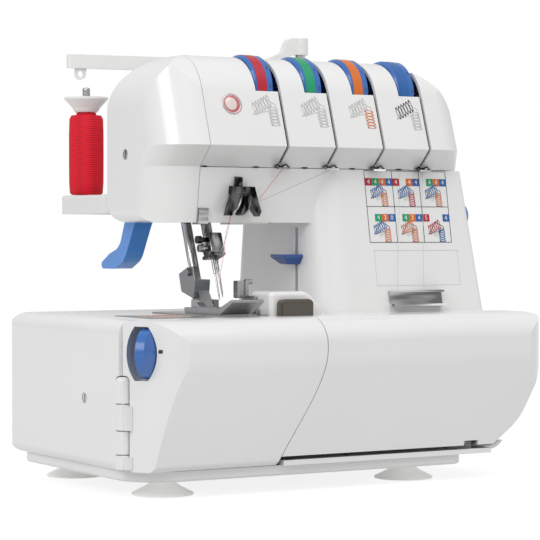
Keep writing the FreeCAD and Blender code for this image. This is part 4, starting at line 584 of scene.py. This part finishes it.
def loop_row(row, scale, line):
    """Row of loops along one edge of the cloth."""
    loops = copies_of(thread_loop(row["length"] * scale, row["turn"], row["width"] * scale, line), LOOPS)
    for i, loop in enumerate(loops):
        x, y = [(first + step * i) * scale for first, step in zip(row["first"], row["step"])]
        shifted(loop, x, y)
    return join(loops)


def cloth_outline(scale, line):
    """Folded cloth drawn with thin strokes."""
    return join(outline_of([(x * scale, y * scale) for x, y in CLOTH_CORNERS], line))


print("loops in a row", LOOPS)

# %% [markdown]
# Under each dial a grey picture shows where its thread lies in the seam. The third has orange side loops
# and the fourth has black edge loops. Cloth, edge and side are each drawn once and copied to the four places.

# %% Pictures under the dials
PICTURE_Z = 237.0
PICTURE_DX = -3.0
PICTURE_SIZE = 1.5
FINE_LINE = 0.34
DIAL_PICTURE = (
    ("seam_cloth_%d", cloth_outline(PICTURE_SIZE, FINE_LINE), ("grey", "grey", "grey", "grey")),
    ("seam_edge_%d", loop_row(EDGE_ROW, PICTURE_SIZE, FINE_LINE), ("grey", "grey", "grey", "black")),
    ("seam_side_%d", loop_row(SIDE_ROW, PICTURE_SIZE, FINE_LINE), ("grey", "grey", "orange", "grey")),
)
for title, drawing, inks in DIAL_PICTURE:
    for number, (copy, x, ink) in enumerate(zip(copies_of(drawing, len(inks)), DIAL_X, inks), start=1):
        printed(copy, PANEL_FACE, x + PICTURE_DX, PICTURE_Z, title % number, ink)
print("seam pictures", len(DIAL_X))

# %% [markdown]
# The column carries a table of settings: three by two cells with a thin black frame. Each cell has a row of
# coloured squares with a white numeral, which says how far to turn each dial, and a picture of the seam.

# %% Table of settings: frame
TABLE_X0 = 43.0
TABLE_X1 = 107.6
TABLE_Z1 = 200.0
TABLE_H = 47.4
TABLE_LINE = 0.35
COLUMNS = 3
ROWS = 2
CELL_W = (TABLE_X1 - TABLE_X0) / COLUMNS
CELL_H = TABLE_H / ROWS
TABLE_PLACE = (COLUMN_FACE, TABLE_X0, TABLE_Z1)
lines = []
for i in range(COLUMNS + 1):
    lines.append(stroke(CELL_W * i, 0.0, CELL_W * i, -TABLE_H, TABLE_LINE))
for i in range(ROWS + 1):
    lines.append(stroke(0.0, -CELL_H * i, CELL_W * COLUMNS, -CELL_H * i, TABLE_LINE))
printed(join(lines), *TABLE_PLACE, "table_lines", "black")
print("table cells", COLUMNS * ROWS)

# %% [markdown]
# One square is drawn and copied to all its places. The squares of one colour are then joined to one piece,
# and so are the numerals, which lie a little higher.

# %% Table of settings: coloured squares and numerals
SQUARE_STEP = 5.3
SQUARE_W = 5.2
SQUARE_H = 4.9
SQUARE_INSET = 0.2
SQUARE_DROP = 7.4
TABLE_NUMERAL = 4.2
NUMERAL_LIFT = 0.08
CELLS = (
    ("red", "green", "orange", "blue"), ("red", None, "orange", "blue"), (None, "green", "orange", "blue"),
    (None, "green", "orange", "blue"), (None, "green", "orange", "blue"), ("red", None, None, "blue"),
)
FIGURES = ("4444", "4044", "0444", "0430", "0434", "5004")
marks = []
for index, (cell, values) in enumerate(zip(CELLS, FIGURES)):
    left = CELL_W * (index % COLUMNS) + SQUARE_INSET
    y = -CELL_H * (index // COLUMNS) - SQUARE_DROP
    for place, (ink, value) in enumerate(zip(cell, values)):
        if ink is not None:
            marks.append((ink, value, left + SQUARE_STEP * (place + 0.5), y))
squares = {"red": [], "green": [], "orange": [], "blue": []}
numerals = []
blanks = copies_of(tile(SQUARE_W, SQUARE_H, 0.0, 0.0), len(marks))
for blank, (ink, value, x, y) in zip(blanks, marks):
    squares[ink].append(shifted(blank, x, y))
    numerals.append(figure(value, TABLE_NUMERAL, x, y))
for ink, tiles in squares.items():
    printed(join(tiles), *TABLE_PLACE, "table_squares_" + ink, ink)
printed(join(numerals), *TABLE_PLACE, "table_numerals", "white", NUMERAL_LIFT)
print("table numerals", len(marks))

# %% [markdown]
# The pictures in the cells repeat the seam picture in the thread colours. Two pale tiles under the loops
# stand for the folded cloth, and a black outline goes round it.

# %% Table of settings: seam pictures
PICTURE_SCALE = 1.06
PICTURE_DROP = 15.8
BOLD_LINE = 0.3
UPPER_FOLD = (7.4, 4.6)
UPPER_TURN = 0.62
SIDE_FOLD = (4.6, 7.6)
SIDE_FOLD_AT = (3.2, -3.0)


def cloth_patch(scale):
    """Pale cloth under the loops: two tiles, one for each fold."""
    upper = tile(*[size * scale for size in UPPER_FOLD], 0.0, 0.0)
    upper.rotation_euler = (0.0, 0.0, UPPER_TURN)
    apply_place()
    side = tile(*[size * scale for size in SIDE_FOLD + SIDE_FOLD_AT])
    return join([upper, side])


CELL_PICTURE = (
    (cloth_patch(PICTURE_SCALE), ("pale", "pale", "pale", "pale", "pale", "pale")),
    (cloth_outline(PICTURE_SCALE, FINE_LINE), ("black", "black", "black", "black", "black", "black")),
    (loop_row(EDGE_ROW, PICTURE_SCALE, BOLD_LINE), ("blue", "blue", "blue", "blue", "orange", "red")),
    (loop_row(SIDE_ROW, PICTURE_SCALE, BOLD_LINE), ("orange", "red", "orange", "orange", "orange", "blue")),
)
drawn = {"red": [], "orange": [], "blue": [], "pale": [], "black": []}
for drawing, inks in CELL_PICTURE:
    for index, (copy, ink) in enumerate(zip(copies_of(drawing, len(inks)), inks)):
        x = CELL_W * (index % COLUMNS + 0.5)
        y = -CELL_H * (index // COLUMNS) - PICTURE_DROP
        drawn[ink].append(shifted(copy, x, y))
for ink, parts in drawn.items():
    printed(join(parts), *TABLE_PLACE, "table_pictures_" + ink, ink)
print("table pictures", COLUMNS * ROWS)

# %% [markdown]
# A plain panel below the table stays empty: only its faint printed frame shows.

# %% Faint frame below the table
PLATE_X0 = 45.5
PLATE_W = 66.0
PLATE_Z1 = 148.0
PLATE_H = 23.0
PLATE_CORNERS = ((0.0, 0.0), (PLATE_W, 0.0), (PLATE_W, -PLATE_H), (0.0, -PLATE_H), (0.0, 0.0))
printed(join(outline_of(PLATE_CORNERS)), COLUMN_FACE, PLATE_X0, PLATE_Z1, "faint_frame", "pale")
print("faint frame", PLATE_W, "by", PLATE_H)

# %% [markdown]
# A round jewel sits on the panel's left part: a pale rim, a red glassy dome and a pale middle that lies a
# little to the left, so that the red shows as a crescent. The rim is a torus, pressed flatter. The dome is
# the upper half of a sphere, cut with bisect and flattened.

# %% Round jewel
JEWEL_X = -58.7
JEWEL_Z = 240.0
JEWEL_R = 6.2
RIM_R = 0.9
RIM_FLAT = 0.6
DOME_R = JEWEL_R - 0.3
DOME_H = 0.9
HEART_X = JEWEL_X - 0.9
HEART_R = 4.2
HEART_H = 0.5
HEART_LIFT = 0.62


def flat_dome(radius, height, bottom):
    """Shallow dome: a sphere cut in half and pressed flat."""
    clear_selection()
    bpy.ops.mesh.primitive_uv_sphere_add(segments=48, ring_count=24, radius=1.0)
    dome = bpy.context.object
    edit_all()
    bpy.ops.mesh.bisect(plane_co=(0.0, 0.0, 0.0), plane_no=(0.0, 0.0, 1.0), use_fill=True, clear_inner=True)
    face_outwards()
    dome.scale = (radius * MM, radius * MM, height * MM)
    dome.location = (0.0, 0.0, bottom * MM)
    apply_place()
    smooth_below(40.0)
    return dome


jewel_rim = moulded("jewel_rim", (0.55, 0.44, 0.44), 0.1, 0.2, coat=0.5, bump=0.01, metal=0.4)
jewel_glass = moulded("jewel_glass", (0.52, 0.13, 0.14), 0.12, 0.1, coat=0.6, bump=0.01)
jewel_heart = moulded("jewel_heart", (0.76, 0.64, 0.62), 0.1, 0.15, coat=0.6, bump=0.01)
clear_selection()
bpy.ops.mesh.primitive_torus_add(major_segments=64, minor_segments=16, major_radius=JEWEL_R * MM,
                                 minor_radius=RIM_R * MM)
rim = bpy.context.object
rim.scale = (1.0, 1.0, RIM_FLAT)
apply_place()
bpy.ops.object.shade_smooth()
settle(lean(rim, PANEL_FACE, JEWEL_X, JEWEL_Z), "jewel_ring", "frame", jewel_rim)
settle(lean(flat_dome(DOME_R, DOME_H, 0.0), PANEL_FACE, JEWEL_X, JEWEL_Z), "jewel_dome", "frame",
       jewel_glass)
settle(lean(flat_dome(HEART_R, HEART_H, HEART_LIFT), PANEL_FACE, HEART_X, JEWEL_Z), "jewel_middle", "frame",
       jewel_heart)
print("jewel radius", JEWEL_R)

# %% [markdown]
# A spool of thread is a plastic core with thousands of turns on it. At this size the turns show only as fine
# uneven rings, so the winding is one swelling body and its material draws the turns. Two wave patterns,
# tilted a little to either side, cross each other, and the higher of the two gives the colour and the bump.

# %% Thread material
TURN_TILTS = (0.07, -0.05)
TURN_WAVE = {"Scale": 210.0, "Distortion": 1.0, "Detail": 2.0}
TURN_TONES = (0.62, 1.15)
TURN_EDGES = (0.1, 0.8)
TURN_BUMP = 0.5
TURN_DEPTH = 0.0003
RED_THREAD = (0.66, 0.008, 0.024)
GREY_THREAD = (0.34, 0.34, 0.35)


def wound_thread(name, colour, x, y):
    """Wound thread round an upright axis."""
    mat, tree, shader, coords = new_finish(name)
    cross = tree.nodes.new("ShaderNodeMath")
    cross.operation = "MAXIMUM"
    for tilt, socket in zip(TURN_TILTS, cross.inputs):
        place = tree.nodes.new("ShaderNodeMapping")
        place.inputs["Location"].default_value = (-x * MM, -y * MM, 0.0)
        place.inputs["Rotation"].default_value = (tilt, tilt, 0.0)
        tree.links.new(coords.outputs["Object"], place.inputs["Vector"])
        wave = tree.nodes.new("ShaderNodeTexWave")
        wave.bands_direction = "Z"
        for setting, value in TURN_WAVE.items():
            wave.inputs[setting].default_value = value
        tree.links.new(place.outputs["Vector"], wave.inputs["Vector"])
        tree.links.new(wave.outputs["Fac"], socket)
    turns = cross.outputs["Value"]
    shade = ramp_of(tree, turns, *[tinted(colour, tone) for tone in TURN_TONES], *TURN_EDGES)
    tree.links.new(shade, shader.inputs["Base Color"])
    bump_of(tree, shader, turns, TURN_BUMP, TURN_DEPTH)
    adjust(mat, Roughness=0.6, Specular_IOR_Level=0.25)
    return mat


print("thread material ready, turns", TURN_WAVE)

# %% [markdown]
# The winding itself could be spun from a profile. Here a filled ring is extruded upwards and scaled at each
# step, which keeps the profile as a plain list of radius and height. Each copy takes the place of a plain CAD
# spool and gets a material of its own, centred on its axis.

# %% Wound spools
SPOOL_X = [middle_of("thread_spool_%d" % number)[0] for number in (1, 2, 3, 4)]
SPOOL_Y = middle_of("thread_spool_1")[1]
SPOOL_YARNS = ((RED_THREAD, "red_thread"),) + ((GREY_THREAD, "grey_thread"),) * 3
SPOOL_PROFILE = ((9.6, 0.3), (11.0, 1.4), (11.5, 8.0), (11.6, 22.0), (11.6, 40.0), (11.3, 51.0), (10.0, 53.4),
                 (6.6, 53.8), (6.6, 55.2))


def wound_body(profile):
    """Winding: a ring extruded upwards and scaled at each step of its profile."""
    clear_selection()
    radius, height = profile[0]
    bpy.ops.mesh.primitive_circle_add(vertices=64, radius=radius * MM, fill_type="NGON",
                                      location=(0.0, 0.0, height * MM))
    apply_place()
    body = bpy.context.object
    edit_all()
    for (r0, z0), (r1, z1) in zip(profile, profile[1:]):
        bpy.ops.mesh.extrude_region_move(TRANSFORM_OT_translate={"value": (0.0, 0.0, (z1 - z0) * MM)})
        grow = r1 / r0
        bpy.ops.transform.resize(value=(grow, grow, 1.0))
    face_outwards()
    smooth_below(50.0)
    return body


windings = copies_of(wound_body(SPOOL_PROFILE), len(SPOOL_X))
for number, (body, x, (colour, slot)) in enumerate(zip(windings, SPOOL_X, SPOOL_YARNS), start=1):
    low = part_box("thread_spool_%d" % number)[0]
    body.location = (x * MM, SPOOL_Y * MM, low.z)
    finish = wound_thread("wound_thread_%d" % number, colour, x, SPOOL_Y)
    settle(body, "wound_spool_%d" % number, "spool_%d" % number, finish)
    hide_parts("thread_spool_%d" % number)
print("wound spools", len(windings), "at", SPOOL_X)

# %% [markdown]
# Threads and springs are wires. A wire is a curve that passes through a few places; a round bevel gives it
# its thickness, and then it is turned into a mesh. The threads are a good quarter of a millimetre thick.

# %% Wire helper
THREAD = 0.28
MERGE = 0.01 * MM
PALE_THREAD = (0.54, 0.54, 0.55)


def wire(points, thick, straight=False):
    """Round wire through places given in millimetres."""
    clear_selection()
    bpy.ops.curve.primitive_bezier_curve_add()
    obj = bpy.context.object
    bpy.ops.object.mode_set(mode="EDIT")
    bpy.ops.curve.select_all(action="SELECT")
    if len(points) > 2:
        bpy.ops.curve.subdivide(number_cuts=len(points) - 2)
    bpy.ops.object.mode_set(mode="OBJECT")
    handle = "VECTOR" if straight else "AUTO"
    for knot, place in zip(obj.data.splines[0].bezier_points, points):
        knot.handle_left_type = handle
        knot.handle_right_type = handle
        knot.co = Vector(place) * MM
    obj.data.bevel_depth = thick / 2.0 * MM
    obj.data.bevel_resolution = 2
    obj.data.resolution_u = 8
    obj.data.use_fill_caps = True
    bpy.ops.object.convert(target="MESH")
    obj = bpy.context.object
    edit_all()
    bpy.ops.mesh.remove_doubles(threshold=MERGE)
    face_outwards()
    smooth_below(60.0)
    return obj


def yarn_of(name, colour):
    """Dull thread of one colour."""
    return moulded(name, colour, 0.1, 0.6, bump=0.1)


red_yarn = yarn_of("red_yarn", RED_THREAD)
grey_yarn = yarn_of("grey_yarn", GREY_THREAD)
pale_yarn = yarn_of("pale_yarn", PALE_THREAD)
print("thread thickness", THREAD)

# %% [markdown]
# At the foot of each slot a small black check spring leads its thread out. Between them along the panel's
# lower seam lie small openings, and the shade inside each is painted as a dark lens. A spring is a waved
# wire, and a dark lens is a ball pressed flat, which sits half in the seam. Each is made once and copied.

# %% Check springs and painted shade in the seam openings
SLOT_SHIFT = 9.2
SEAM_Z = 201.0
SEAM_Y = -46.5
SPRING_WIRE = 0.9
SPRING_Y = SEAM_Y - 1.7
SPRING_LINE = ((-3.4, 0.4), (-1.8, 1.7), (0.2, 0.5), (2.2, 1.0), (4.2, 1.8), (6.0, 0.8), (7.6, 0.4))
SHADE_LENS_SHIFT = -7.0
SHADE_LENS_Y = SEAM_Y - 0.2
SHADE_LENS_HALF = Vector((2.6, 0.7, 0.55))
FIRST_SHADE_LENS = -37.5


def clip_mouth():
    """Flat lens at the origin."""
    clear_selection()
    bpy.ops.mesh.primitive_uv_sphere_add(segments=24, ring_count=12, radius=1.0)
    shade_lens = bpy.context.object
    shade_lens.scale = SHADE_LENS_HALF * MM
    bpy.ops.object.shade_smooth()
    return shade_lens


springs = copies_of(wire([(dx, -dz, dz) for dx, dz in SPRING_LINE], SPRING_WIRE), len(DIAL_X))
for number, (spring, x) in enumerate(zip(springs, DIAL_X), start=1):
    spring.location = Vector((x + SLOT_SHIFT, SPRING_Y, SEAM_Z)) * MM
    settle(spring, "check_spring_%d" % number, "frame", black_moulding)
# Painted shade: each dark lens stands in for the shade inside a small opening along the seam.
shade_lenses = copies_of(clip_mouth(), len(DIAL_X) + 1)
for number, (shade_lens, x) in enumerate(zip(shade_lenses, [DIAL_X[0] + FIRST_SHADE_LENS] + DIAL_X), start=1):
    shade_lens.location = Vector((x + SHADE_LENS_SHIFT, SHADE_LENS_Y, SEAM_Z)) * MM
    settle(shade_lens, "clip_mouth_%d" % number, "frame", black_moulding)
print("check springs", len(springs), "clip mouths", len(shade_lenses))

# %% [markdown]
# The black needle guide holds two bright bent blades between its claws. They could be cut from sheet, but at
# this size a bent wire looks the same and bends more smoothly.

# %% Blades of the needle guide
BLADE_Y = -53.6
BLADE_WIRE = 1.0
BLADES = (((-53.8, 186.3), (-53.2, 181.1), (-55.8, 174.9), (-59.6, 171.4)),
          ((-45.6, 182.2), (-46.9, 177.0), (-50.9, 171.0)))
for number, path in enumerate(BLADES, start=1):
    blade = wire([(x, BLADE_Y, z) for x, z in path], BLADE_WIRE)
    settle(blade, "guide_blade_%d" % number, "frame", plated_steel)
print("guide blades", len(BLADES))

# %% [markdown]
# Two needle threads come from the first two slots and meet at the guide. From the guide they run to the
# needles, and because the needles move, these ends bend between the arm and the needle bar. The second
# thread lies a little to the right of the first.

# %% Needle threads
GUIDE_RIGHT = Vector((-40.2, -53.4, 180.6))
GUIDE_TIP = Vector((-60.4, -52.6, 170.4))
CLAMP_SIDE = Vector((-58.4, -43.4, 157.0))
CLAMP_EASE = Vector((0.0, 0.4, 0.0))
THREAD_APART = Vector((0.5, 0.0, 0.0))
REST_APART = Vector((0.5, 0.0, -1.2))
THREAD_FOOT = (-53.0, 200.0)
NEEDLE_X = (-62.7, -65.3)
NEEDLE_RUN = ((2.2, -44.6, 146.6), (0.4, -43.6, 134.0), (0.0, -46.4, 123.2))
YARNS = ((red_yarn, "red_thread"), (grey_yarn, "grey_thread"))
for count, (needle_x, (yarn, slot)) in enumerate(zip(NEEDLE_X, YARNS)):
    number = count + 1
    foot = (DIAL_X[count] + SLOT_SHIFT,) + THREAD_FOOT
    rest = GUIDE_RIGHT + REST_APART * count
    upper = wire([foot, rest], THREAD, straight=True)
    settle(upper, "panel_thread_%d" % number, "frame", yarn)
    path = [GUIDE_TIP + THREAD_APART * count, CLAMP_SIDE + CLAMP_EASE + THREAD_APART * count]
    path += [(needle_x + dx, y, z) for dx, y, z in NEEDLE_RUN]
    lower = settle(wire(path, THREAD), "needle_thread_%d" % number, None, yarn)
    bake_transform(lower)
print("needle threads", len(NEEDLE_X))

# %% [markdown]
# The two looper threads run down over the column to the bent steel guide at its foot. They are pulled tight
# and nothing there moves, so a straight wire is enough.

# %% Looper threads
LOOPER_PATHS = (((70.2, -48.6, 200.6), (57.4, -64.6, 121.6)), ((87.0, -50.0, 200.6), (78.4, -64.6, 121.6)))
for number, path in enumerate(LOOPER_PATHS, start=1):
    settle(wire(path, THREAD, straight=True), "looper_thread_%d" % number, "frame", pale_yarn)
print("looper threads", len(LOOPER_PATHS))

# %% [markdown]
# A short black mark on the corner tells where to read the width wheel. It is a small tile, stood upright and
# turned to follow the corner.

# %% Mark beside the width wheel
MARK_AT = (-133.8, -97.45, 89.4)
MARK_W = 2.5
MARK_H = 2.1
MARK_CORNER = 0.4
MARK_THICK = 0.25 * MM
MARK_TURN = math.radians(-34.4)
mark = tile(MARK_W, MARK_H, 0.0, 0.0, corner=MARK_CORNER, thick=MARK_THICK)
mark.rotation_euler = (math.pi / 2.0, 0.0, MARK_TURN)
mark.location = Vector(MARK_AT) * MM
settle(mark, "wheel_mark", "side_door", INKS["black"])
print("wheel mark", MARK_AT)

# %% [markdown]
# On the cloth plate, seen almost edge on, pale brown reflections with a few coloured bars are painted. They
# are a thin tile on the plate, and one bar is drawn and copied on top of it.

# %% Painted reflections on the cloth plate
REFLECTION_X = -107.0
REFLECTION_Y = -52.0
REFLECTION_W = 26.0
REFLECTION_L = 30.0
REFLECTION_CORNER = 2.0
REFLECTION_LIFT = 0.04
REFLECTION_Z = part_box("cloth_plate")[1].z / MM + REFLECTION_LIFT
BAR_W = 22.0
BAR_L = 3.0
BAR_CORNER = 0.6
BAR_LIFT = 0.1
REFLECTION_BARS = (("orange", -42.0), ("blue", -50.0), ("orange", -58.0))
# Painted reflection: a pale brown tile with orange and blue bars on the plate.
plate_reflection_paint = moulded("plate_reflection_paint", (0.62, 0.50, 0.36), 0.06, 0.3, coat=0.3, bump=0.02)
reflection_tile = tile(REFLECTION_W, REFLECTION_L, 0.0, 0.0, corner=REFLECTION_CORNER)
reflection_tile.location = Vector((REFLECTION_X, REFLECTION_Y, REFLECTION_Z)) * MM
settle(reflection_tile, "plate_painted_reflection", "side_door", plate_reflection_paint)
bars = copies_of(tile(BAR_W, BAR_L, 0.0, 0.0, corner=BAR_CORNER), len(REFLECTION_BARS))
for number, (bar, (ink, y)) in enumerate(zip(bars, REFLECTION_BARS), start=1):
    bar.location = Vector((REFLECTION_X, y, REFLECTION_Z + BAR_LIFT)) * MM
    settle(bar, "painted_reflection_bar_%d" % number, "side_door", INKS[ink])
print("chart bars", len(bars))

# %% [markdown]
# A plain pale floor and a white room. For the camera the floor is nearly white by itself, and the light adds
# the rest, so the soft shadow under the machine stays. Metal and clear plastic see the same white. For the
# light that bounces, the floor is a light grey sheet.

# %% Floor
FLOOR_SIZE = 14.0
FLOOR_GLOW = 0.85
FLOOR_SHADE = 0.24
FLOOR_BOUNCE = 0.62


def seen_rays(tree, outputs):
    """One where one of these kinds of ray looks, and zero for the light that bounces."""
    path = tree.nodes.new("ShaderNodeLightPath")
    seen = path.outputs[outputs[0]]
    for output in outputs[1:]:
        either = tree.nodes.new("ShaderNodeMath")
        either.operation = "MAXIMUM"
        tree.links.new(seen, either.inputs[0])
        tree.links.new(path.outputs[output], either.inputs[1])
        seen = either.outputs["Value"]
    return seen


clear_selection()
bpy.ops.mesh.primitive_plane_add(size=FLOOR_SIZE, location=(0.0, 0.0, 0.0))
floor = bpy.context.object
floor.name = "floor"
paper, tree, shader, _ = new_finish("pale_paper")
adjust(paper, Base_Color=grey(FLOOR_SHADE), Roughness=0.9, Specular_IOR_Level=0.0)
glow = tree.nodes.new("ShaderNodeEmission")
glow.inputs["Color"].default_value = grey(1.0)
glow.inputs["Strength"].default_value = FLOOR_GLOW
lit = tree.nodes.new("ShaderNodeAddShader")
tree.links.new(shader.outputs["BSDF"], lit.inputs[0])
tree.links.new(glow.outputs["Emission"], lit.inputs[1])
sheet = tree.nodes.new("ShaderNodeBsdfDiffuse")
sheet.inputs["Color"].default_value = grey(FLOOR_BOUNCE)
choice = tree.nodes.new("ShaderNodeMixShader")
looks = ("Is Camera Ray", "Is Transmission Ray", "Is Glossy Ray")
tree.links.new(seen_rays(tree, looks), choice.inputs[0])
tree.links.new(sheet.outputs["BSDF"], choice.inputs[1])
tree.links.new(lit.outputs["Shader"], choice.inputs[2])
tree.links.new(choice.outputs["Shader"], tree.nodes["Material Output"].inputs["Surface"])
floor.data.materials.append(paper)
print("floor glow", FLOOR_GLOW)

# %% [markdown]
# The room round it is white to the eye, and a little weaker as a light, so that the lamps can still model the
# shapes.

# %% World
ROOM_LIGHT = 0.68
world = bpy.data.worlds.new("studio")
bpy.context.scene.world = world
world.use_nodes = True
tree = world.node_tree
room = tree.nodes["Background"]
room.inputs["Color"].default_value = grey(1.0)
level = tree.nodes.new("ShaderNodeMapRange")
level.inputs["To Min"].default_value = ROOM_LIGHT
level.inputs["To Max"].default_value = 1.0
tree.links.new(seen_rays(tree, ("Is Camera Ray", "Is Transmission Ray")), level.inputs["Value"])
tree.links.new(level.outputs["Result"], room.inputs["Strength"])
print("room light", ROOM_LIGHT)

# %% [markdown]
# Two large soft lamps: one high on the left, which draws the left sides and lets the front fall off a little,
# and one high in front, which draws the tops. Large lamps give the soft, nearly shadowless light of a
# catalogue picture.

# %% Lamps
LAMP_TARGET = (0.0, 0.0, 0.15)
LAMPS = (("left_lamp", (-1.8, -0.8, 1.3), 1.2, 15.0), ("top_lamp", (0.2, -1.0, 2.0), 1.4, 13.0))


def aim(obj, target):
    """Turn a lamp or camera from its place towards a target."""
    way = Vector(target) - obj.location
    obj.rotation_euler = way.to_track_quat("-Z", "Y").to_euler()


def soft_lamp(name, place, size, watts):
    """Square area lamp that points at the machine."""
    clear_selection()
    bpy.ops.object.light_add(type="AREA", location=place)
    lamp = bpy.context.object
    lamp.name = name
    lamp.data.shape = "SQUARE"
    lamp.data.size = size
    lamp.data.energy = watts
    aim(lamp, LAMP_TARGET)


for lamp in LAMPS:
    soft_lamp(*lamp)
print("lamps", len(LAMPS))

# %% [markdown]
# The camera stands low and far to the front left, with a long lens, so the upright lines stay upright.

# %% Camera
CAMERA_PLACE = (-0.7467, -1.2427, 0.1603)
CAMERA_TARGET = (0.0, 0.0, 0.135)
CAMERA_SENSOR = 36.0
CAMERA_LENS = 146.67
clear_selection()
bpy.ops.object.camera_add(location=CAMERA_PLACE)
camera = bpy.context.object
aim(camera, CAMERA_TARGET)
camera.data.sensor_width = CAMERA_SENSOR
camera.data.lens = CAMERA_LENS
bpy.context.scene.camera = camera
bpy.context.scene.view_settings.view_transform = "Standard"
print("camera lens", CAMERA_LENS)
